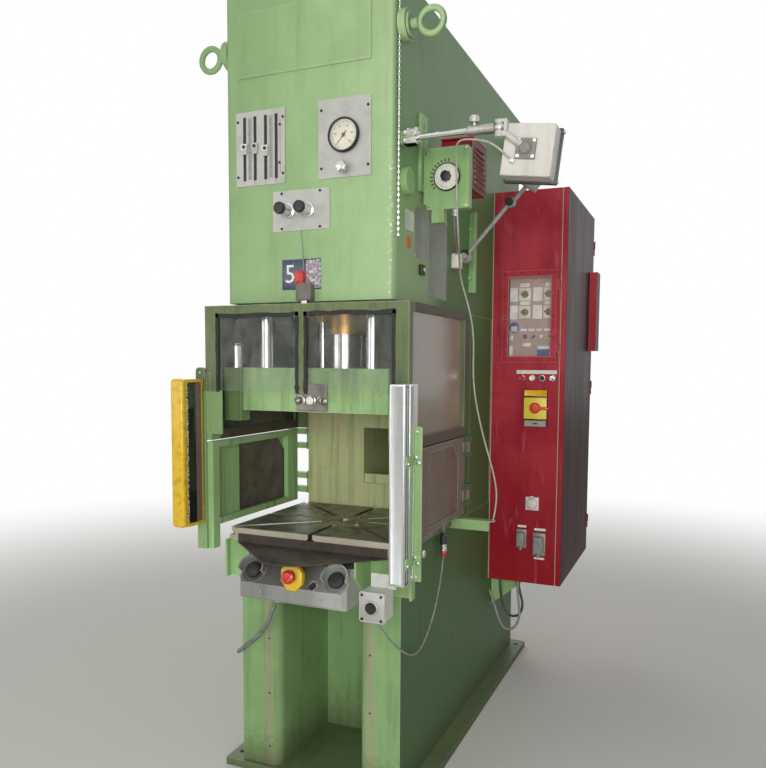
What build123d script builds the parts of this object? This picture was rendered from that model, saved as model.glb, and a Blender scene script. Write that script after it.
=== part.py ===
from build123d import *
import math
import os

# Single column hydraulic press, millimetres, +Z up, front towards -Y.
# Origin: centre of the four foundation bolt holes, at floor level.
os.makedirs("parts", exist_ok=True)

# Welded frame
FRAME_W = 674.0
HEAD_FRONT_Y = -925.0
BASE_FRONT_Y = -845.0
FRAME_REAR_Y = 808.0
FRAME_TOP_Z = 2915.0
HEAD_BOTTOM_Z = 1827.0
CHEEK_T = 30.0
HEAD_FLOOR_T = 60.0
FRAME_WALL_T = 20.0
HEAD_CORNER_R = 24.0

# Foot flange and its foundation bolt holes
FOOT_W = 814.0
FOOT_L = 1730.0
FOOT_T = 30.0
FOOT_BOLT_X = 740.0
FOOT_BOLT_Y = 1600.0
FOOT_HOLE_R = 14.0

# Front recess of the base, with the threaded holes of its cover
RECESS_W = 340.0
RECESS_D = 402.0
RECESS_TOP_Z = 745.0
RECESS_LIP_R = 40.0
RECESS_WALL_T = 15.0
COVER_HOLE_R = 5.0
COVER_HOLE_DEPTH = 14.0
COVER_HOLE_EDGE = 46.0
COVER_HOLE_ROWS = (104.0, 320.0, 540.0)

# Rectangular chute through the throat plate
CHUTE_W = 120.0
CHUTE_Z0 = 1085.0
CHUTE_H = 244.0
CHUTE_D = 300.0
CHUTE_WALL_T = 12.0
CHUTE_SILL_H = 40.0
CHUTE_SILL_D = 14.0

# Table with eight T-slots
RAM_Y = -615.0
TABLE_W = 700.0
TABLE_D = 580.0
TABLE_REAR_GAP = 9.0
TABLE_TOP_Z = 981.0
TABLE_T = 50.0
SLOT_W = 18.0
SLOT_HEAD_W = 30.0
SLOT_HEAD_H = 12.0
SLOT_D = 30.0
SLOT_INNER_R = 96.0
TABLE_BORE_R = 25.0
TABLE_HOLE_PCD = 140.0
TABLE_HOLE_R = 6.0
TABLE_HOLE_DEPTH = 25.0
TABLE_HOLES = 8

# Slide, its rods and its travel
STROKE = 380.0
SLIDE_W = 604.0
SLIDE_D = 536.0
SLIDE_H = 160.0
SLIDE_BOTTOM_Z = 1430.0
SHANK_R = 25.0
SHANK_DEPTH = 80.0
SLIDE_BOLT_X = 400.0
SLIDE_BOLT_Y = 300.0
SLIDE_BOLT_R = 8.0
SLIDE_BOLT_DEPTH = 30.0
SHANK_CLAMP_W = 124.0
SHANK_CLAMP_T = 10.0
SHANK_CLAMP_DOWN = 38.0
SHANK_CLAMP_UP = 60.0
SHANK_CLAMP_R = 6.0
SHANK_BOLT_Z = 43.2
SHANK_BOLT_PITCH = 44.0
SHANK_BOLT_R = 16.0
SHANK_BOLT_H = 15.0
SHANK_WASHER_R = 19.0
SHANK_WASHER_T = 4.0
EAR_W = 74.0
EAR_D = 60.0
EAR_DROP = 40.0
STOP_ROD_R = 22.5
STOP_ROD_H = 93.0
GUIDE_ROD_R = 25.0
GUIDE_PITCH_X = 442.0
GUIDE_PITCH_Y = 450.0
RAM_R = 70.0
RUNNING_GAP = 0.05
BUSH_WALL_T = 8.0
BUSH_DROP = 42.0
BUSH_FLANGE_W = 5.0
BUSH_FLANGE_T = 8.0
GLAND_WALL_T = 12.0
GLAND_DROP = 107.0
ROD_ENGAGEMENT = 30.0

# Cylinder in the head
CYLINDER_BORE_R = 100.0
CYLINDER_WALL_T = 22.0
CYLINDER_CAP_T = 45.0
CYLINDER_FLANGE_R = 165.0
CYLINDER_FLANGE_T = 40.0
PISTON_H = 110.0
PISTON_CUSHION = 12.0
SEAL_GROOVE_W = 8.0
SEAL_GROOVE_D = 6.0

# Motor, pump and valve block in the head
PACK_Y = 250.0
MOTOR_R = 120.0
MOTOR_L = 330.0
PUMP_R = 70.0
PUMP_L = 150.0
VALVE_BLOCK = 160.0
PRESSURE_PIPE_R = 16.0
PIPE_DROP = 40.0
MOTOR_FRONT = 100.0
PACK_FOOT_W = 300.0
PACK_FOOT_FRONT = 150.0
PACK_FOOT_REAR = 260.0
PACK_FOOT_T = 30.0
SADDLE_W = 180.0
SADDLE_FRONT = 60.0
SADDLE_REAR = 180.0

# Guard round the die space
GUARD_W = 818.0
GUARD_FRONT_Y = -966.0
GUARD_TOP_Z = 1817.0
GUARD_POST_W = 50.0
GUARD_POST_D = 36.0
GUARD_BAR_H = 30.0
GUARD_BAR_T = 24.0
GUARD_SIDE_BAR_Z = 1318.0
GUARD_SIDE_BAR_H = 36.0
GUARD_POST_BOTTOM_Z = 1342.0
FRONT_PANE_BOTTOM_Z = 1505.0
CORNER_PLATE_W = 72.0
MULLION_W = 20.0
MULLION_T = 14.0
PANE_T = 4.0
GASKET_W = 11.0
GASKET_T = 7.0
CARRIER_W = 42.0
CARRIER_GAP = 4.0
CARRIER_INSET = 6.0
CARRIER_CORNER_R = 14.0
PACKER_W = 22.0
GUARD_PLATE_T = 6.0
GUARD_LUG_D = 40.0
GUARD_LUG_H = 50.0
CARRIER_T = 8.0
CARRIER_Z0_LEFT = 905.0
CARRIER_Z1_LEFT = 1590.0
CARRIER_Z0_RIGHT = 897.0
CARRIER_Z1_RIGHT = 1405.0

# Side doors below the guard
DOOR_Z0 = 992.0
DOOR_Z1 = 1312.0
DOOR_T = 28.0
DOOR_POST_W = 40.0
DOOR_SHEET_L = 175.0
DOOR_SHEET_T = 4.0
DOOR_RAIL_H = 24.0
DOOR_STILE_W = 84.0
DOOR_SKIRT_Z = 905.0
DOOR_SKIRT_L = 62.0
DOOR_GUSSET = 60.0
HINGE_R = 9.0
HINGE_PIN_R = 5.0
HINGE_KNUCKLE_H = 40.0
HINGE_KNUCKLES_Z = (1050.0, 1250.0)

# Light curtain housings in front of the guard
CURTAIN_W = 55.0
CURTAIN_D = 112.0
CURTAIN_GAP = 16.0
CURTAIN_LEFT_Z0 = 1012.0
CURTAIN_LEFT_H = 534.0
CURTAIN_RIGHT_Z0 = 895.0
CURTAIN_RIGHT_H = 648.0
CLAMP_H = 36.0
CLAMP_Z = (950.0, 1280.0)

# Two-hand console and its apron
CONSOLE_W = 430.0
CONSOLE_Z0 = 765.0
CONSOLE_FACE_H = 58.0
CONSOLE_H = 132.0
CONSOLE_D = 150.0
CONSOLE_FRONT_Y = -1050.0
CONSOLE_NOSE = 62.0
PALM_X = 168.0
PALM_R = 31.0
PALM_H = 18.0
PALM_STEM_R = 12.0
PALM_TRAVEL = 6.0
PALM_POCKET_R = 46.0
PALM_POCKET_D = 10.0
CONSOLE_CORNER = 14.0
HOOD_T = 5.0
HOOD_LIFT = 30.0
SMALL_BUTTON_X = 88.0
SMALL_BUTTON_R = 11.0
SMALL_BUTTON_H = 7.0
BUTTON_TRAVEL = 3.0
ESTOP_SIZE = 84.0
ESTOP_H = 34.0
ESTOP_HEAD_R = 24.0
ESTOP_STEM_R = 13.0
ESTOP_HEAD_H = 20.0
ESTOP_TRAVEL = 6.0
ESTOP_CORNER_R = 12.0
ESTOP_EDGE_R = 6.0
ESTOP_HOLE_D = 16.0
APRON_W = 620.0
APRON_Z = 922.0
APRON_T = 5.0
APRON_REACH = 228.0
APRON_NOSE_RISE = 18.0
APRON_NOSE_W = 150.0
BRACKET_T = 8.0
BRACKET_Z0 = 776.0
BRACKET_REACH = 54.0
BRACKET_LIP_D = 34.0
BRACKET_TOE = 46.0
BRACKET_NOSE_H = 60.0

# Single button box under the right light curtain
BUTTON_BOX_W = 88.0
BUTTON_BOX_H = 98.0
BUTTON_BOX_D = 74.0
BUTTON_BOX_OUT = 7.0
BUTTON_BOX_Z0 = 768.0
BUTTON_BOX_FRONT_Y = -1112.0
BUTTON_BOX_LID_T = 10.0
BOX_BUTTON_R = 19.0
BOX_BUTTON_H = 12.0
BOX_PLATE_T = 6.0
BOX_PLATE_INSET = 10.0
BOX_PLATE_RISE = 46.0
BOX_CORNER_R = 6.0
BOX_LID_LIP = 1.0
BOX_GLAND_R = 9.0
BOX_GLAND_H = 14.0
BOX_GLAND_IN = 46.0

# Plates, gauge, scale and valve knobs on the head's front
FRONT_PLATE_T = 4.0
NAME_PLATE = (-283.0, 249.0, 2625.0, 2860.0)
SCALE_PLATE = (-288.0, -84.0, 2246.0, 2508.0)
GAUGE_PLATE = (50.0, 251.0, 2245.0, 2511.0)
VALVE_PLATE = (-134.0, 94.0, 2076.0, 2217.0)
SCALE_SLOTS = 4
SCALE_SLOT_W = 13.0
SCALE_SLOT_L = 225.0
SCALE_PITCH = 44.0
SLIDER_H = 36.0
SLIDER_W = 22.0
SLIDER_Z = 2376.0
GAUGE_X = 150.0
GAUGE_Z = 2385.0
GAUGE_R = 57.0
GAUGE_RIM_T = 5.0
GAUGE_PROUD = 12.0
GAUGE_VALVE_DROP = 108.0
GAUGE_VALVE_R = 17.0
GAUGE_VALVE_H = 26.0
GAUGE_STEM_R = 8.0
GAUGE_HOLE_R = 8.5
GAUGE_COLLAR_R = 9.0
VALVE_X = (-72.0, 6.0)
VALVE_Z = 2146.0
VALVE_KNOB_R = 21.0
VALVE_KNOB_H = 62.0
VALVE_CAP_R = 17.0
VALVE_CAP_H = 6.0
VALVE_STEM_R = 10.5
VALVE_HOLE_R = 11.0
VALVE_FLUTES = 10
FLUTE_R = 2.6
FLUTE_START = 8.0
KNOB_GAP = 1.0

# Lifting eyes, rail, boss and strips on the head's sides
EYE_Z = 2740.0
EYE_FRONT_Y = -865.0
EYE_REAR_Y = 640.0
EYE_BOSS_R = 52.0
EYE_BOSS_L = 26.0
EYE_FLANGE_R = 40.0
EYE_SHANK_R = 17.0
EYE_RING_R = 52.0
EYE_BAR_R = 11.0
EYE_REACH = 56.0
EYE_FLANGE_T = 8.0
EYE_SINK = 7.0
EYE_LIFT = 22.0
RAIL_Y = -676.0
RAIL_W = 64.0
RAIL_Z0 = 2230.0
RAIL_Z1 = 2502.0
RAIL_T = 10.0
RAIL_SLOT_W = 18.0
BOSS_Y = -835.0
BOSS_Z = 2236.0
BOSS_R = 46.0
BOSS_L = 22.0

# Arm with the operator terminal
ARM_Y = -855.0
ARM_Z = 2372.0
ARM_R = 10.0
ARM_L = 292.0
ARM_SLEEVE_R = 15.0
ARM_SLEEVE_L = 92.0
ARM_CLAMP_L = 52.0
ARM_CLAMP_W = 46.0
ARM_PIN_R = 4.0
TERMINAL_W = 166.0
TERMINAL_H = 166.0
TERMINAL_D = 74.0
TERMINAL_BEZEL_D = 22.0
TERMINAL_OUT = 425.0
TERMINAL_Z = 2300.0
TERMINAL_TILT = 7.0

# Dial box, louvred box, junction box and lamp on the right side
# Boxes: X from and to, measured from the frame's side, then Y and Z
DIAL_BOX = (24.0, 182.0, -685.0, -647.0, 2164.0, 2381.0)
DIAL_OUT = 102.0
DIAL_Z = 2275.0
DIAL_R = 46.0
DIAL_T = 6.0
DIAL_KNOB_R = 18.0
DIAL_KNOB_H = 24.0
LOUVRE_BOX = (61.0, 182.0, -640.0, -462.0, 2240.0, 2420.0)
LOUVRES = 7
LOUVRE_PROUD = 6.0
JUNCTION_Y = -305.0
JUNCTION_Z = 2031.0
JUNCTION_SIZE = (34.0, 40.0, 58.0)
LAMP_Y = -225.0
LAMP_Z = 2056.0
LAMP_STAND_OFF = 16.0
LAMP_JOINT_R = 17.0
LAMP_PIN_R = 5.0
LAMP_ARM_R = 6.0
LAMP_LOWER_L = 281.0
LAMP_LOWER_ANGLE = 48.0
LAMP_UPPER_L = 170.0
LAMP_UPPER_ANGLE = 47.0
LAMP_HEAD_R = 34.0
LAMP_HEAD_L = 90.0
DUCT_Y = -72.0
DUCT_W = 22.0
DUCT_Z0 = 1924.0
DUCT_Z1 = 2268.0

# Switch cabinet on the right side of the column
CABINET_W = 360.0
CABINET_D = 834.0
CABINET_FRONT_Y = 312.0
CABINET_Z0 = 537.0
CABINET_Z1 = 2437.0
CABINET_SHEET_T = 4.0
CABINET_DOOR_T = 24.0
CABINET_SEAL_GAP = 4.0
CABINET_HINGE_R = 8.0
CABINET_HINGES_Z = (700.0, 1480.0, 2270.0)
GEAR_PLATE_T = 4.0
FAN_BOX = (40.0, 110.0, 1690.0, 2125.0)
PANEL_X0 = 52.0
PANEL_W = 267.0
PANEL_Z0 = 1618.0
PANEL_H = 440.0
PANEL_RECESS_D = 46.0
PANEL_EDGE = 24.0
WINDOW_FRAME_T = 14.0
WINDOW_FRAME_W = 30.0
WINDOW_HINGE_R = 6.0
SELECTOR_PITCH_X = 116.0
SELECTOR_PITCH_Z = 84.0
SELECTOR_R = 16.0
SELECTOR_Z = 1944.0
BUTTON_Z = 1545.0
BUTTON_X0 = 154.0
BUTTON_PITCH = 49.0
BUTTON_R = 12.0
BUTTON_BEZEL_R = 17.0
BUTTON_H = 9.0
SWITCH_X = 226.0
SWITCH_Z = 1402.0
SWITCH_W = 112.0
SWITCH_H = 170.0
SWITCH_T = 22.0
SWITCH_HANDLE_R = 22.0
SWITCH_HANDLE_L = 66.0
SOCKET_X = 217.0
SOCKET_Z = 934.0
SOCKET_SIZE = 66.0
SOCKET_T = 10.0
CONNECTORS = ((168.0, 758.0, 50.0, 92.0), (255.0, 736.0, 62.0, 112.0))
CONNECTOR_T = 38.0
SUPPORT_Y = 382.0
SUPPORT_REACH = 150.0
SUPPORT_H = 150.0
SUPPORT_LIP = 30.0
SUPPORT_T = 8.0

# Cable bracket beside the throat and what hangs on it
HOOK_Y = -300.0
HOOK_W = 44.0
HOOK_Z = 964.0
HOOK_H = 42.0
HOOK_T = 4.0
HOOK_REACH = 196.0
PLUG_OUT = 23.0
PLUG_Y = -448.0
PLUG_R = 15.0
PLUG_DROP = 34.0
PLUG_L = 96.0
COUPLING_L = 46.0
SUPPORT_SHELF = 20.0
SUPPORT_SHELF_W = 50.0

SEAT_GAP = 0.3

# Cables
BUTTON_CABLE_R = 3.5
TERMINAL_CABLE_R = 3.5
CONDUIT_R = 8.0
CABINET_CABLE_R = 6.0

HALF_W = FRAME_W / 2
THROAT_Y = RAM_Y + TABLE_D / 2 + TABLE_REAR_GAP
TERMINAL_X = HALF_W + TERMINAL_OUT
DIAL_X = HALF_W + DIAL_OUT
PLUG_X = HALF_W + PLUG_OUT
BUTTON_BOX_X = HALF_W + BUTTON_BOX_OUT
TABLE_BOTTOM_Z = TABLE_TOP_Z - TABLE_T
SLIDE_TOP_Z = SLIDE_BOTTOM_Z + SLIDE_H
CABINET_X0 = HALF_W
CABINET_X1 = CABINET_X0 + CABINET_W
CABINET_REAR_Y = CABINET_FRONT_Y + CABINET_D
CABINET_SHELL_X1 = CABINET_X1 - CABINET_DOOR_T - CABINET_SEAL_GAP
GUARD_HALF = GUARD_W / 2
CURTAIN_X0 = GUARD_HALF - 9


def block(x0, x1, y0, y1, z0, z1):
    """Rectangular solid between two opposite corners."""
    centre = Pos((x0 + x1) / 2, (y0 + y1) / 2, (z0 + z1) / 2)
    return centre * Box(x1 - x0, y1 - y0, z1 - z0)


def rod(start, end, radius):
    """Round bar from one point to another."""
    path = Line(start, end)
    return sweep(path.location_at(0) * Circle(radius), path=path)


def rod_x(x0, x1, y, z, radius):
    return Pos((x0 + x1) / 2, y, z) * Rot(0, 90, 0) * Cylinder(radius, x1 - x0)


def rod_y(x, y0, y1, z, radius):
    return Pos(x, (y0 + y1) / 2, z) * Rot(90, 0, 0) * Cylinder(radius, y1 - y0)


def rod_z(x, y, z0, z1, radius):
    return Pos(x, y, (z0 + z1) / 2) * Cylinder(radius, z1 - z0)


def upright(radius, height):
    """Cylinder standing on the origin."""
    return Cylinder(radius, height, align=(Align.CENTER, Align.CENTER, Align.MIN))


def ring_z(x, y, z0, z1, outer, inner):
    return rod_z(x, y, z0, z1, outer) - rod_z(x, y, z0 - 1, z1 + 1, inner)


def prism_x(points, x0, x1):
    """Solid with a profile given as (y, z) points, extruded along X."""
    outline = Polyline(*[(0, y, z) for y, z in points], close=True)
    return extrude(make_face(outline), amount=x1 - x0, dir=(1, 0, 0)).moved(Location((x0, 0, 0)))


def prism_y(points, y0, y1):
    """Solid with a profile given as (x, z) points, extruded along Y."""
    outline = Polyline(*[(x, 0, z) for x, z in points], close=True)
    return extrude(make_face(outline), amount=y1 - y0, dir=(0, 1, 0)).moved(Location((0, y0, 0)))


def turned(profile):
    """Solid of revolution about Z from (radius, z) points."""
    outline = Polyline(*[(r, 0, z) for r, z in profile], close=True)
    return revolve(make_face(outline), Axis.Z)


def facing_front(shape, x, y, z):
    """Turn a piece made along +Z so that it points to -Y, with its base at a point."""
    return Pos(x, y, z) * Rot(90, 0, 0) * shape


def group(pieces):
    """Several separate solids kept in one node."""
    solids = []
    for piece in pieces:
        solids.extend(piece.solids())
    return Compound(solids)


def save(node, shape):
    export_step(shape, f"parts/{node}.step")


def guide_places():
    """Centres of the four guide rods."""
    for sx in (-1, 1):
        for sy in (-1, 1):
            yield sx * GUIDE_PITCH_X / 2, RAM_Y + sy * GUIDE_PITCH_Y / 2


def base_frame():
    """Foot flange and the welded base box with its front recess."""
    flange = block(-FOOT_W / 2, FOOT_W / 2, -FOOT_L / 2, FOOT_L / 2, 0, FOOT_T)
    for sx in (-1, 1):
        for sy in (-1, 1):
            x = sx * FOOT_BOLT_X / 2
            y = sy * FOOT_BOLT_Y / 2
            flange -= rod_z(x, y, -1, FOOT_T + 1, FOOT_HOLE_R)
    box = block(-HALF_W, HALF_W, BASE_FRONT_Y, FRAME_REAR_Y, FOOT_T, TABLE_BOTTOM_Z)
    recess_back = BASE_FRONT_Y + RECESS_D
    recess = block(-RECESS_W / 2, RECESS_W / 2, BASE_FRONT_Y - 1, recess_back, FOOT_T, RECESS_TOP_Z)
    box -= recess
    lips = box.edges().filter_by(Axis.Z).filter_by_position(Axis.Y, BASE_FRONT_Y - 1, BASE_FRONT_Y + 1)
    lips = lips.filter_by_position(Axis.X, -RECESS_W / 2 - 1, RECESS_W / 2 + 1)
    box = fillet(lips, RECESS_LIP_R)
    inner_half = HALF_W - CHEEK_T
    room_half = RECESS_W / 2 + RECESS_LIP_R + RECESS_WALL_T
    front_y = recess_back + RECESS_WALL_T
    room = block(-inner_half, inner_half, front_y, FRAME_REAR_Y - FRAME_WALL_T,
                 FOOT_T + FRAME_WALL_T, TABLE_BOTTOM_Z - HEAD_FLOOR_T)
    box -= room
    for side in (-1, 1):
        x0, x1 = sorted((side * room_half, side * inner_half))
        box -= block(x0, x1, BASE_FRONT_Y + FRAME_WALL_T, front_y + 1,
                     FOOT_T + FRAME_WALL_T, TABLE_BOTTOM_Z - HEAD_FLOOR_T)
        hole_x = side * (RECESS_W / 2 + COVER_HOLE_EDGE)
        for z in COVER_HOLE_ROWS:
            box -= rod_y(hole_x, BASE_FRONT_Y - 1, BASE_FRONT_Y + COVER_HOLE_DEPTH, z, COVER_HOLE_R)
    return flange + box


def column_box():
    """Hollow column behind the throat, with the chute in its front plate."""
    column = block(-HALF_W, HALF_W, THROAT_Y, FRAME_REAR_Y, TABLE_BOTTOM_Z, HEAD_BOTTOM_Z)
    inner_half = HALF_W - CHEEK_T
    room = block(-inner_half, inner_half, THROAT_Y + FRAME_WALL_T, FRAME_REAR_Y - FRAME_WALL_T,
                 TABLE_BOTTOM_Z + FRAME_WALL_T, HEAD_BOTTOM_Z - FRAME_WALL_T)
    duct_half = CHUTE_W / 2 + CHUTE_WALL_T
    duct = block(-duct_half, duct_half, THROAT_Y, THROAT_Y + CHUTE_D + CHUTE_WALL_T,
                 CHUTE_Z0 - CHUTE_WALL_T, CHUTE_Z0 + CHUTE_H + CHUTE_WALL_T)
    column = column - (room - duct)
    column -= block(-CHUTE_W / 2, CHUTE_W / 2, THROAT_Y - 1, THROAT_Y + CHUTE_D,
                    CHUTE_Z0, CHUTE_Z0 + CHUTE_H)
    sill = block(-CHUTE_W / 2, CHUTE_W / 2, THROAT_Y + CHUTE_SILL_D, THROAT_Y + 2 * CHUTE_SILL_D,
                 CHUTE_Z0, CHUTE_Z0 + CHUTE_SILL_H)
    return column + sill


def head_box():
    """Hollow head with its floor bored for the cylinder and the guide bushes."""
    head = block(-HALF_W, HALF_W, HEAD_FRONT_Y, FRAME_REAR_Y, HEAD_BOTTOM_Z, FRAME_TOP_Z)
    corners = head.edges().filter_by(Axis.Z).group_by(Axis.Y)[0]
    head = fillet(corners, HEAD_CORNER_R)
    inner_half = HALF_W - CHEEK_T
    room = block(-inner_half, inner_half, HEAD_FRONT_Y + FRAME_WALL_T, FRAME_REAR_Y - FRAME_WALL_T,
                 HEAD_BOTTOM_Z + HEAD_FLOOR_T, FRAME_TOP_Z - FRAME_WALL_T)
    head -= room
    gland_r = RAM_R + RUNNING_GAP + GLAND_WALL_T
    head -= rod_z(0, RAM_Y, HEAD_BOTTOM_Z - 1, HEAD_BOTTOM_Z + HEAD_FLOOR_T + 1, gland_r)
    bush_r = GUIDE_ROD_R + RUNNING_GAP + BUSH_WALL_T
    for x, y in guide_places():
        head -= rod_z(x, y, HEAD_BOTTOM_Z - 1, HEAD_BOTTOM_Z + HEAD_FLOOR_T + 1, bush_r)
    x0, x1, z0, z1 = NAME_PLATE
    slot_half = SCALE_PLATE[0] + (SCALE_PLATE[1] - SCALE_PLATE[0]) / 2
    head += block(x0, x1, HEAD_FRONT_Y - FRONT_PLATE_T, HEAD_FRONT_Y, z0, z1)
    for i in range(SCALE_SLOTS):
        x = slot_half + (i - (SCALE_SLOTS - 1) / 2) * SCALE_PITCH
        z_mid = (SCALE_PLATE[2] + SCALE_PLATE[3]) / 2
        head -= block(x - SCALE_SLOT_W / 2, x + SCALE_SLOT_W / 2, HEAD_FRONT_Y - 1,
                      HEAD_FRONT_Y + FRAME_WALL_T + 1, z_mid - SCALE_SLOT_L / 2, z_mid + SCALE_SLOT_L / 2)
    return head


def cylinder_barrel():
    """Cylinder standing on the head's floor, closed at the top."""
    z0 = HEAD_BOTTOM_Z + HEAD_FLOOR_T
    outer = CYLINDER_BORE_R + CYLINDER_WALL_T
    inside_top = piston_top() + PISTON_CUSHION
    top = inside_top + CYLINDER_CAP_T
    flange_h = z0 + CYLINDER_FLANGE_T
    rod_hole = RAM_R + 1
    half = [(rod_hole, z0), (CYLINDER_FLANGE_R, z0), (CYLINDER_FLANGE_R, flange_h),
            (outer, flange_h), (outer, top), (0, top), (0, inside_top),
            (CYLINDER_BORE_R, inside_top), (CYLINDER_BORE_R, flange_h), (rod_hole, flange_h)]
    return Pos(0, RAM_Y, 0) * turned(half)


def piston_top():
    """Top face of the piston with the slide at the top of its stroke."""
    floor = HEAD_BOTTOM_Z + HEAD_FLOOR_T + CYLINDER_FLANGE_T
    return floor + PISTON_CUSHION + STROKE + PISTON_H


def ram_rod():
    """Ram and piston, turned as one piece, with two seal grooves."""
    top = piston_top()
    skirt = top - PISTON_H
    piston_r = CYLINDER_BORE_R - RUNNING_GAP
    groove_r = piston_r - SEAL_GROOVE_D
    g1 = skirt + PISTON_H / 3
    g2 = skirt + 2 * PISTON_H / 3
    half = [(0, SLIDE_TOP_Z), (RAM_R, SLIDE_TOP_Z), (RAM_R, skirt), (piston_r, skirt),
            (piston_r, g1), (groove_r, g1), (groove_r, g1 + SEAL_GROOVE_W), (piston_r, g1 + SEAL_GROOVE_W),
            (piston_r, g2), (groove_r, g2), (groove_r, g2 + SEAL_GROOVE_W), (piston_r, g2 + SEAL_GROOVE_W),
            (piston_r, top), (0, top)]
    return Pos(0, RAM_Y, 0) * turned(half)


def guide_bushes():
    """Four guide bushes and the larger gland bush of the ram."""
    top = HEAD_BOTTOM_Z + HEAD_FLOOR_T
    pieces = []
    inner = GUIDE_ROD_R + RUNNING_GAP
    for x, y in guide_places():
        bush = ring_z(x, y, HEAD_BOTTOM_Z - BUSH_DROP, top, inner + BUSH_WALL_T, inner)
        collar = ring_z(x, y, HEAD_BOTTOM_Z - BUSH_FLANGE_T, HEAD_BOTTOM_Z,
                        inner + BUSH_WALL_T + BUSH_FLANGE_W, inner)
        pieces.append(bush + collar)
    inner = RAM_R + RUNNING_GAP
    gland = ring_z(0, RAM_Y, HEAD_BOTTOM_Z - GLAND_DROP, top, inner + GLAND_WALL_T, inner)
    collar = ring_z(0, RAM_Y, HEAD_BOTTOM_Z - BUSH_FLANGE_T, HEAD_BOTTOM_Z,
                    inner + GLAND_WALL_T + BUSH_FLANGE_W, inner)
    pieces.append(gland + collar)
    return group(pieces)


def slide_rods():
    """Four guide rods and the short stop rod on the slide's ear."""
    top = HEAD_BOTTOM_Z + HEAD_FLOOR_T + STROKE + ROD_ENGAGEMENT
    pieces = []
    for x, y in guide_places():
        bar = rod_z(x, y, SLIDE_TOP_Z, top, GUIDE_ROD_R)
        pieces.append(chamfer(bar.edges().group_by(Axis.Z)[-1], 3))
    x, y = ear_centre()
    stop = rod_z(x, y, SLIDE_TOP_Z, SLIDE_TOP_Z + STOP_ROD_H, STOP_ROD_R)
    pieces.append(fillet(stop.edges().group_by(Axis.Z)[-1], STOP_ROD_R * 0.6))
    return group(pieces)


def ear_centre():
    return -SLIDE_W / 2 - EAR_W / 2, RAM_Y - SLIDE_D / 2 + EAR_D / 2 - 12


def slide_plate():
    """Slide with its tool bore, bolt holes and the ear on the left."""
    slide = block(-SLIDE_W / 2, SLIDE_W / 2, RAM_Y - SLIDE_D / 2, RAM_Y + SLIDE_D / 2,
                  SLIDE_BOTTOM_Z, SLIDE_TOP_Z)
    slide = chamfer(slide.edges().filter_by(Axis.Z), 4)
    x, y = ear_centre()
    slide += block(-SLIDE_W / 2 - EAR_W, -SLIDE_W / 2, y - EAR_D / 2, y + EAR_D / 2,
                   SLIDE_BOTTOM_Z - EAR_DROP, SLIDE_TOP_Z)
    slide -= rod_z(0, RAM_Y, SLIDE_BOTTOM_Z - 1, SLIDE_BOTTOM_Z + SHANK_DEPTH, SHANK_R)
    for sx in (-1, 1):
        for sy in (-1, 1):
            slide -= rod_z(sx * SLIDE_BOLT_X / 2, RAM_Y + sy * SLIDE_BOLT_Y / 2,
                           SLIDE_BOTTOM_Z - 1, SLIDE_BOTTOM_Z + SLIDE_BOLT_DEPTH, SLIDE_BOLT_R)
    return slide


def shank_clamp():
    """Clamp plate on the slide's front with three hexagon bolts."""
    back = RAM_Y - SLIDE_D / 2
    front = back - SHANK_CLAMP_T
    half = SHANK_CLAMP_W / 2
    z = SLIDE_BOTTOM_Z + SHANK_BOLT_Z
    plate = block(-half, half, front, back, z - SHANK_CLAMP_DOWN, z + SHANK_CLAMP_UP)
    plate = fillet(plate.edges().filter_by(Axis.Y), SHANK_CLAMP_R)
    for i in (-1, 0, 1):
        x = i * SHANK_BOLT_PITCH
        washer = rod_y(x, front - SHANK_WASHER_T, front, z, SHANK_WASHER_R)
        hexagon = extrude(RegularPolygon(SHANK_BOLT_R, 6), SHANK_BOLT_H)
        head = facing_front(hexagon, x, front - SHANK_WASHER_T, z)
        plate = plate + washer + head
    return plate


def table_plate():
    """Table with eight T-slots from the edges to the middle."""
    x1 = TABLE_W / 2
    table = block(-x1, x1, RAM_Y - TABLE_D / 2, RAM_Y + TABLE_D / 2, TABLE_BOTTOM_Z, TABLE_TOP_Z)
    table = chamfer(table.edges().group_by(Axis.Z)[-1], 2)
    corner = math.degrees(math.atan2(TABLE_D / 2, TABLE_W / 2))
    reach = math.hypot(TABLE_W, TABLE_D)
    for angle in (0, 90, 180, 270, corner, 180 - corner, 180 + corner, -corner):
        run = block(SLOT_INNER_R, reach, -SLOT_W / 2, SLOT_W / 2,
                    TABLE_TOP_Z - SLOT_D, TABLE_TOP_Z + 1)
        run += block(SLOT_INNER_R, reach, -SLOT_HEAD_W / 2, SLOT_HEAD_W / 2,
                     TABLE_TOP_Z - SLOT_D, TABLE_TOP_Z - SLOT_D + SLOT_HEAD_H)
        table -= Pos(0, RAM_Y, 0) * Rot(0, 0, angle) * run
    table -= rod_z(0, RAM_Y, TABLE_BOTTOM_Z - 1, TABLE_TOP_Z + 1, TABLE_BORE_R)
    for i in range(TABLE_HOLES):
        a = math.radians((i + 0.5) * 360 / TABLE_HOLES)
        x = TABLE_HOLE_PCD / 2 * math.cos(a)
        y = RAM_Y + TABLE_HOLE_PCD / 2 * math.sin(a)
        table -= rod_z(x, y, TABLE_TOP_Z - TABLE_HOLE_DEPTH, TABLE_TOP_Z + 1, TABLE_HOLE_R)
    return table


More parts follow.
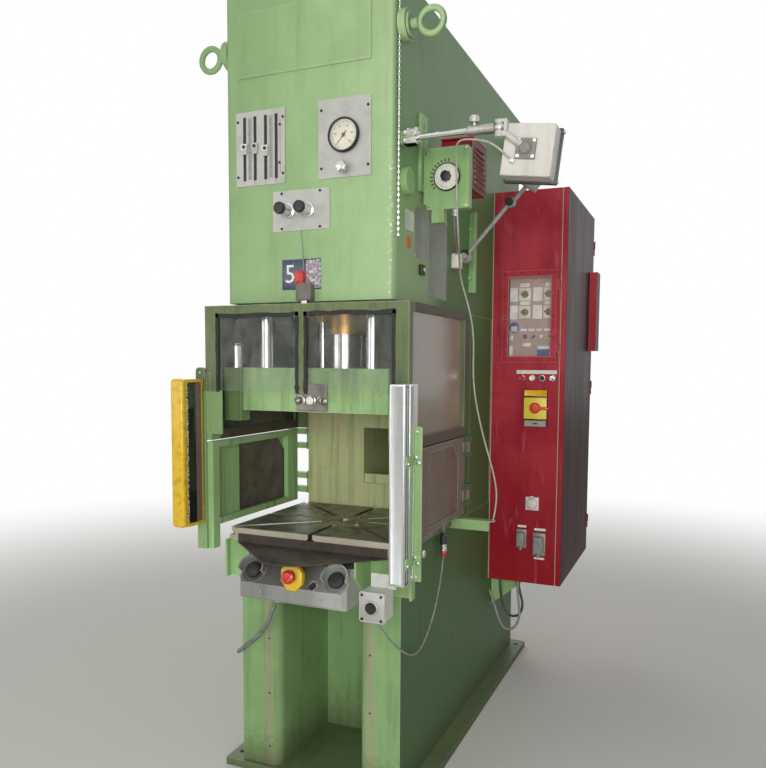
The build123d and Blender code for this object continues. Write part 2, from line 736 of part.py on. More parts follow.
def guard_frame():
    """Fixed guard round the throat: posts, bars, mullion and the carriers in front."""
    half = GUARD_HALF
    front = GUARD_FRONT_Y
    rear = THROAT_Y
    top = GUARD_TOP_Z
    bar_z = top - GUARD_BAR_H
    frame = block(-half, half, front, front + GUARD_BAR_T, bar_z, top)
    frame += block(-MULLION_W / 2, MULLION_W / 2, front, front + MULLION_T, FRONT_PANE_BOTTOM_Z, top)
    for s in (-1, 1):
        def strip(xa, xb, ya, yb, za, zb):
            lo, hi = sorted((s * xa, s * xb))
            return block(lo, hi, ya, yb, za, zb)
        inner = half - GUARD_BAR_T
        frame += strip(half - GUARD_POST_W, half, front, front + GUARD_POST_D, GUARD_POST_BOTTOM_Z, top)
        frame += strip(half - CORNER_PLATE_W, half, front, front + GUARD_PLATE_T, GUARD_POST_BOTTOM_Z,
                       FRONT_PANE_BOTTOM_Z)
        frame += strip(inner, half, front, rear, bar_z, top)
        frame += strip(inner, half, front, rear, GUARD_SIDE_BAR_Z, GUARD_SIDE_BAR_Z + GUARD_SIDE_BAR_H)
        frame += strip(inner, half, rear - GUARD_POST_D, rear, GUARD_SIDE_BAR_Z, top)
        frame += strip(HALF_W, half, rear - GUARD_PLATE_T, rear, GUARD_SIDE_BAR_Z, top)
        frame += strip(HALF_W, inner, rear, rear + GUARD_LUG_D, GUARD_SIDE_BAR_Z + GUARD_LUG_D,
                       GUARD_SIDE_BAR_Z + GUARD_LUG_D + GUARD_LUG_H)
        frame += strip(HALF_W, inner, rear, rear + GUARD_LUG_D, top - 70 - GUARD_LUG_H, top - 70)
        z0 = CARRIER_Z0_LEFT if s < 0 else CARRIER_Z0_RIGHT
        z1 = CARRIER_Z1_LEFT if s < 0 else CARRIER_Z1_RIGHT
        face = front - CARRIER_GAP
        carrier = strip(half - CARRIER_INSET, half - CARRIER_INSET + CARRIER_W, face - CARRIER_T, face, z0, z1)
        carrier = fillet(carrier.edges().filter_by(Axis.Y).group_by(Axis.Z)[-1], CARRIER_CORNER_R)
        frame += carrier
        frame += strip(half - PACKER_W, half, face, front, GUARD_POST_BOTTOM_Z + 8, z1 - 20)
    return frame


def guard_panes():
    """Two front panes and one pane on each side."""
    half = GUARD_HALF
    front = GUARD_FRONT_Y + GUARD_BAR_T / 4
    bar_z = GUARD_TOP_Z - GUARD_BAR_H
    inner_x = half - GUARD_POST_W
    pieces = []
    for s in (-1, 1):
        lo, hi = sorted((s * MULLION_W / 2, s * inner_x))
        pieces.append(block(lo, hi, front, front + PANE_T, FRONT_PANE_BOTTOM_Z, bar_z))
        side = half - GUARD_BAR_T / 2
        lo, hi = sorted((s * side, s * (side - PANE_T)))
        pieces.append(block(lo, hi, GUARD_FRONT_Y + GUARD_POST_D, THROAT_Y - GUARD_POST_D,
                            GUARD_SIDE_BAR_Z + GUARD_SIDE_BAR_H, bar_z))
    return group(pieces)


def guard_gaskets():
    """Rubber strips that hold each front pane on three sides."""
    half = GUARD_HALF
    front = GUARD_FRONT_Y + GUARD_BAR_T / 4
    bar_z = GUARD_TOP_Z - GUARD_BAR_H
    inner_x = half - GUARD_POST_W
    pieces = []
    for s in (-1, 1):
        x0 = MULLION_W / 2
        outline = [(s * x0, FRONT_PANE_BOTTOM_Z), (s * x0, bar_z), (s * inner_x, bar_z),
                   (s * inner_x, FRONT_PANE_BOTTOM_Z),
                   (s * (inner_x - GASKET_W), FRONT_PANE_BOTTOM_Z),
                   (s * (inner_x - GASKET_W), bar_z - GASKET_W),
                   (s * (x0 + GASKET_W), bar_z - GASKET_W), (s * (x0 + GASKET_W), FRONT_PANE_BOTTOM_Z)]
        pieces.append(prism_y(outline, front - GASKET_T, front))
    return group(pieces)


def door_axis():
    """Distance of a side door's hinge line from the centre, and its Y."""
    return GUARD_HALF + HINGE_R + 3, THROAT_Y - HINGE_R - 2


def side_door(side):
    """Left or right door: front post, sheet, rails, rear stile, skirt and hinge knuckles."""
    outer = GUARD_HALF
    inner = outer - DOOR_T
    axis_x, axis_y = door_axis()
    front = GUARD_FRONT_Y + 2
    rear = axis_y - HINGE_R - 2

    def strip(xa, xb, ya, yb, za, zb):
        lo, hi = sorted((side * xa, side * xb))
        return block(lo, hi, ya, yb, za, zb)
    door = strip(inner, outer, front, front + DOOR_POST_W, DOOR_SKIRT_Z, DOOR_Z1)
    sheet_x = outer - DOOR_SHEET_T
    skirt = strip(sheet_x, outer, front, front + DOOR_SKIRT_L, DOOR_SKIRT_Z, DOOR_Z0 + 1)
    door += fillet(skirt.edges().filter_by(Axis.X).group_by(Axis.Z)[0], 18)
    door += strip(sheet_x, outer, front, front + DOOR_SHEET_L + DOOR_POST_W, DOOR_Z0, DOOR_Z1)
    door += strip(inner, outer, front, rear, DOOR_Z1 - DOOR_RAIL_H, DOOR_Z1)
    door += strip(inner, outer, front, rear, DOOR_Z0, DOOR_Z0 + DOOR_RAIL_H)
    door += strip(inner, outer, rear - DOOR_STILE_W, rear, DOOR_Z0, DOOR_Z1)
    gusset_y = rear - DOOR_STILE_W
    gusset_z = DOOR_Z1 - DOOR_RAIL_H
    lo, hi = sorted((side * sheet_x, side * outer))
    door += prism_x([(gusset_y + 1, gusset_z + 1), (gusset_y - DOOR_GUSSET, gusset_z + 1),
                     (gusset_y + 1, gusset_z - DOOR_GUSSET)], lo, hi)
    for z in HINGE_KNUCKLES_Z:
        leaf = strip(outer - 2, axis_x - HINGE_PIN_R - 1, rear - 30, axis_y + 2,
                     z + 1, z + HINGE_KNUCKLE_H - 1)
        barrel = rod_z(side * axis_x, axis_y, z + 1, z + HINGE_KNUCKLE_H - 1, HINGE_R)
        barrel = barrel + leaf
        barrel -= rod_z(side * axis_x, axis_y, z, z + HINGE_KNUCKLE_H, HINGE_PIN_R + RUNNING_GAP)
        door += barrel
    return door


def door_pane(side):
    """Plastic pane of a side door, with its upper rear corner cut off."""
    axis_y = door_axis()[1]
    rear = axis_y - HINGE_R - 2 - DOOR_STILE_W
    front = GUARD_FRONT_Y + 2 + DOOR_POST_W + DOOR_SHEET_L - 12
    z0 = DOOR_Z0 + DOOR_RAIL_H
    z1 = DOOR_Z1 - DOOR_RAIL_H
    x1 = GUARD_HALF - DOOR_SHEET_T - SEAT_GAP
    lo, hi = sorted((side * x1, side * (x1 - PANE_T)))
    cut = DOOR_GUSSET
    return prism_x([(front, z0), (rear, z0), (rear, z1 - cut), (rear - cut, z1), (front, z1)], lo, hi)


def door_hinges():
    """Hinge pins and the arms that carry them on the throat's cheeks."""
    axis_x, axis_y = door_axis()
    pieces = []
    for s in (-1, 1):
        for z in HINGE_KNUCKLES_Z:
            top = z + HINGE_KNUCKLE_H
            hinge = rod_z(s * axis_x, axis_y, z - 26, top + 26, HINGE_PIN_R)
            lo, hi = sorted((s * HALF_W, s * (axis_x + HINGE_R)))
            for z0 in (z - 24, top):
                hinge += block(lo, hi, axis_y - HINGE_R, THROAT_Y + 20, z0, z0 + 24)
            lo, hi = sorted((s * HALF_W, s * (HALF_W + 9)))
            hinge += block(lo, hi, THROAT_Y, THROAT_Y + 40, z - 30, top + 30)
            pieces.append(hinge)
    return group(pieces)


def light_curtain(side):
    """Upright housing with a glass front towards the middle."""
    z0 = CURTAIN_LEFT_Z0 if side < 0 else CURTAIN_RIGHT_Z0
    height = CURTAIN_LEFT_H if side < 0 else CURTAIN_RIGHT_H
    y1 = GUARD_FRONT_Y - CARRIER_GAP - CARRIER_T - CURTAIN_GAP
    y0 = y1 - CURTAIN_D
    x0 = CURTAIN_X0
    lo, hi = sorted((side * x0, side * (x0 + CURTAIN_W)))
    body = block(lo, hi, y0, y1, z0, z0 + height)
    body = fillet(body.edges().filter_by(Axis.Z), 7)
    face_x = lo if side > 0 else hi
    groove = block(face_x - 4, face_x + 4, y0 + 22, y1 - 18, z0 + 16, z0 + height - 16)
    body -= groove
    if side > 0:
        outer_x = hi
        body -= block(outer_x - 5, outer_x + 1, y0 + 44, y1 - 44, z0 - 1, z0 + height + 1)
        levels = CLAMP_Z
    else:
        levels = (z0 + 20, z0 + height - 40)
    for z in levels:
        lo2, hi2 = sorted((side * (x0 + 12), side * (x0 + CARRIER_W - 6)))
        body += block(lo2, hi2, y1 - 2, GUARD_FRONT_Y - CARRIER_GAP - CARRIER_T, z, z + CLAMP_H)
    return body


def console_profile():
    """Closed outline of the console's section."""
    y0 = CONSOLE_FRONT_Y
    y1 = y0 + CONSOLE_D
    z0 = CONSOLE_Z0
    z1 = z0 + CONSOLE_FACE_H
    z2 = z0 + CONSOLE_H
    return [(y0 + 6, z0), (y0, z0 + 10), (y0, z1), (y0 + CONSOLE_NOSE, z2), (y1, z2), (y1, z0)]


def slope_frame(x, along):
    """Frame on the console's sloping face, its Z axis normal to the face."""
    rise = CONSOLE_H - CONSOLE_FACE_H
    length = math.hypot(CONSOLE_NOSE, rise)
    y = CONSOLE_FRONT_Y + CONSOLE_NOSE * along
    z = CONSOLE_Z0 + CONSOLE_FACE_H + rise * along
    tilt = math.degrees(math.atan2(rise, CONSOLE_NOSE))
    return Pos(x, y, z) * Rot(tilt, 0, 0), length


def console_body():
    """Cast two-hand console with a hood over each palm button."""
    half = CONSOLE_W / 2
    body = prism_x(console_profile(), -half, half)
    body = chamfer(body.edges().filter_by(Axis.Z).group_by(Axis.Y)[0], CONSOLE_CORNER)
    for s in (-1, 1):
        place, length = slope_frame(s * PALM_X, 0.5)
        pocket = place * Pos(0, 0, -PALM_POCKET_D) * upright(PALM_POCKET_R, 60)
        body -= pocket
        hood = upright(PALM_POCKET_R + HOOD_T, HOOD_LIFT + PALM_POCKET_D)
        hood -= upright(PALM_POCKET_R, HOOD_LIFT * 2)
        front_half = Box(4 * PALM_POCKET_R, 2 * PALM_POCKET_R, 3 * HOOD_LIFT)
        cut = Pos(0, -PALM_POCKET_R - 10, HOOD_LIFT / 2) * front_half
        hood -= cut
        body += place * Pos(0, 0, -PALM_POCKET_D) * hood
    place, length = slope_frame(SMALL_BUTTON_X, 0.22)
    body += place * upright(SMALL_BUTTON_R + 5, 5)
    body -= place * Pos(0, 0, -8) * upright(SMALL_BUTTON_R + 0.5, 20)
    for s in (-1, 1):
        place, length = slope_frame(s * PALM_X, 0.5)
        body -= place * Pos(0, 0, -30) * upright(PALM_STEM_R + 0.5, 30)
    return body


def palm_button(side):
    """Mushroom button in the pocket of the console."""
    lift = PALM_TRAVEL + 1 - PALM_POCKET_D
    cap = Pos(0, 0, lift) * turned([(0, 0), (PALM_R, 0), (PALM_R, PALM_H * 0.45), (PALM_R * 0.8, PALM_H * 0.8),
                                    (PALM_R * 0.4, PALM_H), (0, PALM_H)])
    stem = Pos(0, 0, -30 + PALM_TRAVEL + 2) * upright(PALM_STEM_R, 30)
    place, length = slope_frame(side * PALM_X, 0.5)
    return place * (cap + stem)


def console_button():
    """Small black push button on the console."""
    place, length = slope_frame(SMALL_BUTTON_X, 0.22)
    return place * Pos(0, 0, -3) * upright(SMALL_BUTTON_R, SMALL_BUTTON_H + 5)


def estop_block():
    """Yellow square housing of the emergency stop on the console's slope."""
    place, length = slope_frame(0, 0.5)
    size = ESTOP_SIZE
    body = Box(size, size, ESTOP_H, align=(Align.CENTER, Align.CENTER, Align.MIN))
    body = fillet(body.edges().filter_by(Axis.Z), ESTOP_CORNER_R)
    body = fillet(body.edges().group_by(Axis.Z)[-1], ESTOP_EDGE_R)
    body -= Pos(0, 0, ESTOP_H - ESTOP_HOLE_D) * upright(ESTOP_STEM_R + 0.5, 20)
    return place * body


def estop_head():
    """Red mushroom of the emergency stop."""
    place, length = slope_frame(0, 0.5)
    z = ESTOP_H + ESTOP_TRAVEL + 1
    profile = [(0, ESTOP_H - 8), (ESTOP_STEM_R, ESTOP_H - 8), (ESTOP_STEM_R, z), (ESTOP_HEAD_R * 0.86, z),
               (ESTOP_HEAD_R, z + ESTOP_HEAD_H * 0.4), (ESTOP_HEAD_R * 0.86, z + ESTOP_HEAD_H * 0.85),
               (ESTOP_HEAD_R * 0.45, z + ESTOP_HEAD_H), (0, z + ESTOP_HEAD_H)]
    return place * turned(profile)


def table_apron():
    """Dark sheet with a curved nose between the table and the console."""
    y1 = RAM_Y - TABLE_D / 2
    half = APRON_W / 2
    nose = APRON_NOSE_W / 2
    tip = y1 - APRON_REACH
    shoulder = tip + APRON_NOSE_RISE
    left = Line((-half, y1 - 4, 0), (-nose, shoulder, 0))
    arc = ThreePointArc((-nose, shoulder, 0), (0, tip, 0), (nose, shoulder, 0))
    right = Line((nose, shoulder, 0), (half, y1 - 4, 0))
    back = Polyline((half, y1 - 4, 0), (half, y1, 0), (-half, y1, 0), (-half, y1 - 4, 0))
    face = make_face(left + arc + right + back)
    sheet = extrude(face, amount=APRON_T, dir=(0, 0, 1)).moved(Location((0, 0, APRON_Z)))
    fold = block(-half, half, y1 - APRON_T, y1, APRON_Z, TABLE_TOP_Z - 22)
    return sheet + fold


def console_brackets():
    """Two folded brackets that carry the console and the apron on the base."""
    pieces = []
    rear = BASE_FRONT_Y
    front = CONSOLE_FRONT_Y + CONSOLE_NOSE + 10
    z1 = APRON_Z
    for s in (-1, 1):
        x_in = CONSOLE_W / 2
        lo, hi = sorted((s * x_in, s * (x_in + BRACKET_T)))
        web = prism_x([(front, z1), (rear, z1), (rear, BRACKET_Z0), (rear - BRACKET_TOE, BRACKET_Z0),
                       (front, z1 - BRACKET_NOSE_H)], lo, hi)
        lo, hi = sorted((s * x_in, s * (HALF_W + BRACKET_REACH)))
        foot = block(lo, hi, rear - BRACKET_T, rear, BRACKET_Z0, z1)
        lo, hi = sorted((s * (HALF_W + BRACKET_REACH - BRACKET_T), s * (HALF_W + BRACKET_REACH)))
        lip = block(lo, hi, rear - BRACKET_LIP_D, rear, BRACKET_Z0, z1)
        pieces.append(web + foot + lip)
    return group(pieces)


def button_box():
    """Grey box with its lid, the plate that carries it and a cable gland."""
    x0 = BUTTON_BOX_X - BUTTON_BOX_W / 2
    x1 = BUTTON_BOX_X + BUTTON_BOX_W / 2
    y0 = BUTTON_BOX_FRONT_Y
    y1 = y0 + BUTTON_BOX_D
    z0 = BUTTON_BOX_Z0
    z1 = z0 + BUTTON_BOX_H
    lip = BOX_LID_LIP
    body = block(x0, x1, y0 + BUTTON_BOX_LID_T, y1, z0, z1)
    body = fillet(body.edges().filter_by(Axis.Y), BOX_CORNER_R)
    lid = block(x0 - lip, x1 + lip, y0, y0 + BUTTON_BOX_LID_T, z0 - lip, z1 + lip)
    lid = fillet(lid.edges().filter_by(Axis.Y), BOX_CORNER_R + lip)
    lid -= rod_y(BUTTON_BOX_X, y0 - 1, y0 + BUTTON_BOX_LID_T - 2, (z0 + z1) / 2, BOX_BUTTON_R + 0.5)
    plate = block(x0 + BOX_PLATE_INSET, CURTAIN_X0 - SEAT_GAP, y1 - BOX_PLATE_T, y1,
                  z1 - 2, z1 + BOX_PLATE_RISE)
    gland = rod_z(BUTTON_BOX_X, y0 + BOX_GLAND_IN, z0 - BOX_GLAND_H, z0, BOX_GLAND_R)
    return body + lid + plate + gland


def box_button():
    y0 = BUTTON_BOX_FRONT_Y
    z = BUTTON_BOX_Z0 + BUTTON_BOX_H / 2
    y1 = y0 + BUTTON_BOX_LID_T - 2 - BUTTON_TRAVEL - 0.5
    button = rod_y(BUTTON_BOX_X, y0 - BOX_BUTTON_H, y1, z, BOX_BUTTON_R)
    return fillet(button.edges().group_by(Axis.Y)[0], 3)


def front_plates():
    """Scale plate with its slots and sliders, gauge plate and valve plate."""
    y1 = HEAD_FRONT_Y
    y0 = y1 - FRONT_PLATE_T
    x0, x1, z0, z1 = SCALE_PLATE
    scale = block(x0, x1, y0, y1, z0, z1)
    middle = (x0 + x1) / 2
    z_mid = (z0 + z1) / 2
    for i in range(SCALE_SLOTS):
        x = middle + (i - (SCALE_SLOTS - 1) / 2) * SCALE_PITCH
        scale -= block(x - SCALE_SLOT_W / 2, x + SCALE_SLOT_W / 2, y0 - 1, y1 + 1,
                       z_mid - SCALE_SLOT_L / 2, z_mid + SCALE_SLOT_L / 2)
        if i < SCALE_SLOTS - 1:
            z = SLIDER_Z - (12 if i == 2 else 0)
            scale += block(x - SLIDER_W / 2, x + SLIDER_W / 2, y0 - 5, y0, z - SLIDER_H / 2, z + SLIDER_H / 2)
    x0, x1, z0, z1 = GAUGE_PLATE
    gauge = block(x0, x1, y0, y1, z0, z1)
    gauge -= rod_y(GAUGE_X, y0 - 1, y1 + 1, GAUGE_Z, GAUGE_R - GAUGE_RIM_T)
    gauge -= rod_y(GAUGE_X, y0 - 1, y1 + 1, GAUGE_Z - GAUGE_VALVE_DROP, GAUGE_HOLE_R)
    x0, x1, z0, z1 = VALVE_PLATE
    valve = block(x0, x1, y0, y1, z0, z1)
    for x in VALVE_X:
        valve -= rod_y(x, y0 - 1, y1 + 1, VALVE_Z, VALVE_HOLE_R)
    return group([scale, gauge, valve])


def pressure_gauge():
    """Round gauge case seated in its plate, with its dial sunk in the rim."""
    base = HEAD_FRONT_Y - FRONT_PLATE_T
    case = rod_y(GAUGE_X, base - GAUGE_PROUD, base, GAUGE_Z, GAUGE_R)
    case += rod_y(GAUGE_X, base, HEAD_FRONT_Y, GAUGE_Z, GAUGE_R - GAUGE_RIM_T - 0.5)
    case -= rod_y(GAUGE_X, base - GAUGE_PROUD - 1, base - GAUGE_PROUD + 7, GAUGE_Z, GAUGE_R - GAUGE_RIM_T)
    boss = rod_y(GAUGE_X, base - GAUGE_PROUD + 3, base - GAUGE_PROUD + 8, GAUGE_Z, 4)
    return case + boss


def gauge_needle():
    """Needle on its hub in front of the gauge's dial."""
    y = HEAD_FRONT_Y - FRONT_PLATE_T - GAUGE_PROUD + 3
    hub = rod_y(0, y - 2, y - 0.4, 0, 5)
    blade = prism_y([(-2.5, -14), (2.5, -14), (1, 44), (-1, 44)], y - 1.6, y - 0.6)
    needle = hub + blade
    return Pos(GAUGE_X, 0, GAUGE_Z) * Rot(0, 220, 0) * needle


def valve_knob(x):
    """Fluted knob of a flow valve on its stem, pointing to the front."""
    body = upright(VALVE_KNOB_R, VALVE_KNOB_H)
    for i in range(VALVE_FLUTES):
        flute = Pos(VALVE_KNOB_R + 1, 0, FLUTE_START) * upright(FLUTE_R, VALVE_KNOB_H)
        body -= Rot(0, 0, i * 360 / VALVE_FLUTES) * flute
    body += Pos(0, 0, VALVE_KNOB_H) * upright(VALVE_CAP_R, VALVE_CAP_H)
    stem = Pos(0, 0, -FRONT_PLATE_T) * upright(VALVE_STEM_R, FRONT_PLATE_T + 2)
    return facing_front(body + stem, x, HEAD_FRONT_Y - FRONT_PLATE_T - KNOB_GAP, VALVE_Z)


def gauge_valve():
    """Hexagon knob of the gauge's shut-off below the dial."""
    half_h = GAUGE_VALVE_H / 2
    body = extrude(RegularPolygon(GAUGE_VALVE_R, 6), half_h)
    body += Pos(0, 0, half_h) * upright(GAUGE_COLLAR_R, half_h)
    stem = Pos(0, 0, -FRONT_PLATE_T) * upright(GAUGE_STEM_R, FRONT_PLATE_T + 2)
    y = HEAD_FRONT_Y - FRONT_PLATE_T - KNOB_GAP
    return facing_front(body + stem, GAUGE_X, y, GAUGE_Z - GAUGE_VALVE_DROP)


def lifting_eyes():
    """Four lifting eyes screwed into welded bosses."""
    pieces = []
    for s in (-1, 1):
        for y in (EYE_FRONT_Y, EYE_REAR_Y):
            boss = upright(EYE_BOSS_R, EYE_BOSS_L)
            eye = Pos(0, 0, EYE_BOSS_L) * upright(EYE_FLANGE_R, EYE_FLANGE_T)
            shank = upright(EYE_SHANK_R, EYE_REACH + EYE_SINK + EYE_BAR_R - EYE_RING_R)
            eye += Pos(0, 0, EYE_BOSS_L + EYE_FLANGE_T) * shank
            ring = Rot(90, 0, 0) * Torus(EYE_RING_R - EYE_BAR_R, EYE_BAR_R)
            eye += Pos(0, 0, EYE_BOSS_L + EYE_REACH + EYE_LIFT) * ring
            pieces.append(Pos(s * HALF_W, y, EYE_Z) * Rot(0, s * 90, 0) * (boss + eye))
    return group(pieces)


def side_fittings():
    """Slotted rail, round boss, junction box, lamp foot, cable duct and arm clamp."""
    x = HALF_W
    rail = block(x, x + RAIL_T, RAIL_Y - RAIL_W / 2, RAIL_Y + RAIL_W / 2, RAIL_Z0, RAIL_Z1)
    rail -= block(x - 1, x + RAIL_T + 1, RAIL_Y - RAIL_SLOT_W / 2, RAIL_Y + RAIL_SLOT_W / 2,
                  RAIL_Z0 + 30, RAIL_Z1 - 30)
    boss = rod_x(x, x + BOSS_L, BOSS_Y, BOSS_Z, BOSS_R)
    boss = fillet(boss.edges().group_by(Axis.X)[-1], 5)
    jx, jy, jz = JUNCTION_SIZE
    junction = block(x, x + jx, JUNCTION_Y - jy / 2, JUNCTION_Y + jy / 2,
                     JUNCTION_Z - jz / 2, JUNCTION_Z + jz / 2)
    junction = fillet(junction.edges().filter_by(Axis.X), 5)
    foot = rod_x(x, x + LAMP_STAND_OFF, LAMP_Y, LAMP_Z, LAMP_JOINT_R + 6)
    lamp_x = lamp_pivot()[0]
    lug_y = LAMP_Y + LAMP_JOINT_R + SEAT_GAP
    foot += block(x + LAMP_STAND_OFF - 4, lamp_x, lug_y, lug_y + 10, LAMP_Z - 14, LAMP_Z + 14)
    foot += rod_y(lamp_x, lug_y, lug_y + 10, LAMP_Z, LAMP_JOINT_R)
    foot += rod_y(lamp_x, LAMP_Y - 46, lug_y + 1, LAMP_Z, LAMP_PIN_R)
    duct = block(x, x + DUCT_W, DUCT_Y - DUCT_W / 2, DUCT_Y + DUCT_W / 2, DUCT_Z0, DUCT_Z1)
    y0 = ARM_Y - ARM_CLAMP_W / 2
    clamp = block(x, x + ARM_CLAMP_L, y0, y0 + ARM_CLAMP_W, ARM_Z - ARM_CLAMP_W / 2, ARM_Z + ARM_CLAMP_W / 2)
    clamp = fillet(clamp.edges().filter_by(Axis.X), 8)
    clamp -= rod_x(x + 4, x + ARM_CLAMP_L + 1, ARM_Y, ARM_Z, ARM_R + RUNNING_GAP)
    return group([rail, boss, junction, foot, duct, clamp])


def terminal_arm():
    """Chrome tube in its clamp with the thicker sleeve at its end."""
    x0 = HALF_W + 5
    x1 = HALF_W + ARM_L + 30
    tube = rod_x(x0, x1, ARM_Y, ARM_Z, ARM_R)
    sleeve = rod_x(x1 - ARM_SLEEVE_L, x1, ARM_Y, ARM_Z, ARM_SLEEVE_R)
    sleeve = chamfer(sleeve.edges(), 2)
    stem = rod_z(x1 - ARM_SLEEVE_L + 22, ARM_Y, ARM_Z, ARM_Z + 26, 6)
    grip = rod_z(x1 - ARM_SLEEVE_L + 22, ARM_Y, ARM_Z + 26, ARM_Z + 44, 14)
    eye = rod_z(x1 + 14, ARM_Y, ARM_Z - 14, ARM_Z + 14, 16)
    neck = rod_x(x1 - 2, x1 + 10, ARM_Y, ARM_Z, 10)
    bore = rod_z(x1 + 14, ARM_Y, ARM_Z - 20, ARM_Z + 20, ARM_PIN_R + RUNNING_GAP)
    return tube + sleeve + stem + grip + eye + neck - bore


def terminal_pivot():
    """Place of the upright pivot between arm and terminal bracket."""
    return HALF_W + ARM_L + 30 + 14, ARM_Y


def terminal():
    """Operator terminal, its bracket and the fork on the arm's pivot."""
    px, py = terminal_pivot()
    w, h, d = TERMINAL_W, TERMINAL_H, TERMINAL_D
    housing = Box(w, d, h)
    housing = fillet(housing.edges().filter_by(Axis.Y), 5)
    bezel = Pos(0, d / 2 + TERMINAL_BEZEL_D / 2, 0) * Box(w + 10, TERMINAL_BEZEL_D, h + 10)
    bezel = fillet(bezel.edges().filter_by(Axis.Y), 6)
    bezel -= Pos(0, d / 2 + TERMINAL_BEZEL_D, 8) * Box(w - 46, 6, h - 60)
    plate = Pos(-6, -d / 2 - 4, 2) * Box(62, 8, 62)
    box = (housing + bezel + plate)
    box = Pos(TERMINAL_X, py + 26 + d / 2, TERMINAL_Z) * Rot(0, TERMINAL_TILT, 0) * box
    fork = rod_z(px, py, ARM_Z + 14.3, ARM_Z + 24, 15)
    fork += rod_z(px, py, ARM_Z - 30, ARM_Z - 14.3, 15)
    fork += rod_z(px, py, ARM_Z - 24, ARM_Z + 24, ARM_PIN_R)
    web = block(px + 17, px + 27, py - 11, py + 11, ARM_Z - 30, ARM_Z + 24)
    cheeks = block(px, px + 20, py - 11, py + 11, ARM_Z + 14.3, ARM_Z + 24)
    cheeks += block(px, px + 20, py - 11, py + 11, ARM_Z - 30, ARM_Z - 14.3)
    beam = rod((px + 22, py, ARM_Z - 20), (TERMINAL_X - 6, py + 20, TERMINAL_Z + 4), 11)
    pad = Pos(TERMINAL_X - 6, py + 19, TERMINAL_Z + 3) * Rot(90, 0, 0) * Cylinder(20, 14)
    return fork + web + cheeks + beam + pad + box


def beside_frame(box):
    """Corner values of a box whose X is measured from the frame's right side."""
    return (HALF_W + box[0], HALF_W + box[1]) + box[2:]


def dial_box():
    """Thin box with the setting dial, standing out from the head's side."""
    x0, x1, y0, y1, z0, z1 = beside_frame(DIAL_BOX)
    box = block(x0, x1, y0, y1, z0, z1)
    box = fillet(box.edges().filter_by(Axis.Y), 5)
    box += block(HALF_W + RAIL_T, x0 + 4, y0 + 6, y1, z0 + 20, z1 - 20)
    box += rod_y(DIAL_X, y0 - DIAL_T, y0, DIAL_Z, DIAL_R)
    box -= rod_y(DIAL_X, y0 - DIAL_T - 1, y0 + 8, DIAL_Z, 7)
    box += block(x0 + 18, x0 + 64, y0 + 4, y1, z0 - 46, z0)
    box += rod_z(x0 + 98, (y0 + y1) / 2, z0 - 26, z0, 9)
    return box


def dial_knob():
    y = DIAL_BOX[2] - DIAL_T - 1
    body = upright(DIAL_KNOB_R, DIAL_KNOB_H)
    body += Pos(0, DIAL_KNOB_R - 1, 0) * Box(4, 8, 10, align=(Align.CENTER, Align.CENTER, Align.MIN))
    stem = Pos(0, 0, -DIAL_T - 4) * upright(6.5, DIAL_T + 6)
    return facing_front(body + stem, DIAL_X, y, DIAL_Z)


def louvre_box():
    """Red box with slanting louvres in its side."""
    x0, x1, y0, y1, z0, z1 = beside_frame(LOUVRE_BOX)
    box = block(x0, x1, y0, y1, z0, z1)
    box = fillet(box.edges().filter_by(Axis.X).group_by(Axis.Z)[-1], 20)
    box += block(HALF_W, x0 + 1, y0 + 30, y1 - 30, z0 + 30, z1 - 30)
    pitch = (z1 - z0 - 50) / LOUVRES
    for i in range(LOUVRES):
        z = z0 + 22 + i * pitch
        hood = prism_y([(x1 - 1, z), (x1 + LOUVRE_PROUD, z), (x1 - 1, z + pitch * 0.7)], y0 + 24, y1 - 24)
        box += hood
    return box


def lamp_pivot():
    """Centre of the lamp's foot joint and of its elbow."""
    x = HALF_W + LAMP_STAND_OFF + LAMP_JOINT_R + 1
    a = math.radians(LAMP_LOWER_ANGLE)
    return x, x + LAMP_LOWER_L * math.cos(a), LAMP_Z + LAMP_LOWER_L * math.sin(a)


def lamp_lower_arm():
    """Lower tube of the machine lamp with its foot joint and elbow disc."""
    x, ex, ez = lamp_pivot()
    y = LAMP_Y
    joint = rod_y(x, y - 30, y + LAMP_JOINT_R, LAMP_Z, LAMP_JOINT_R)
    joint += rod_y(x, y - 48, y - 30, LAMP_Z, LAMP_JOINT_R * 0.8)
    tube = rod((x, y - 20, LAMP_Z), (ex, y - 20, ez), LAMP_ARM_R)
    elbow = rod_y(ex, y - 32, y - 8, ez, LAMP_JOINT_R)
    holes = rod_y(ex, y - 40, y, ez, LAMP_PIN_R + RUNNING_GAP)
    holes += rod_y(x, y - 47, y + 40, LAMP_Z, LAMP_PIN_R + RUNNING_GAP)
    return joint + tube + elbow - holes


def lamp_upper_arm():
    """Upper tube with the elbow pin and knob, and the lamp head."""
    x, ex, ez = lamp_pivot()
    y = LAMP_Y
    a = math.radians(LAMP_UPPER_ANGLE)
    pin = rod_y(ex, y - 34, y + 8, ez, LAMP_PIN_R)
    disc = rod_y(ex, y - 7, y + 8, ez, LAMP_JOINT_R)
    knob = rod_y(ex, y - 50, y - 33, ez, LAMP_JOINT_R * 0.8)
    hx = ex + LAMP_UPPER_L * math.cos(a)
    hz = ez + LAMP_UPPER_L * math.sin(a)
    tube = rod((ex, y + 1, ez), (hx, y + 1, hz), LAMP_ARM_R)
    shade = turned([(0, 0), (12, 0), (LAMP_HEAD_R, 40), (LAMP_HEAD_R, LAMP_HEAD_L),
                    (LAMP_HEAD_R - 3, LAMP_HEAD_L), (LAMP_HEAD_R - 3, 42), (10, 6), (0, 6)])
    shade = Pos(hx, y + 1, hz) * Rot(0, 215, 0) * Pos(0, 0, -4) * shade
    return pin + disc + knob + tube + shade


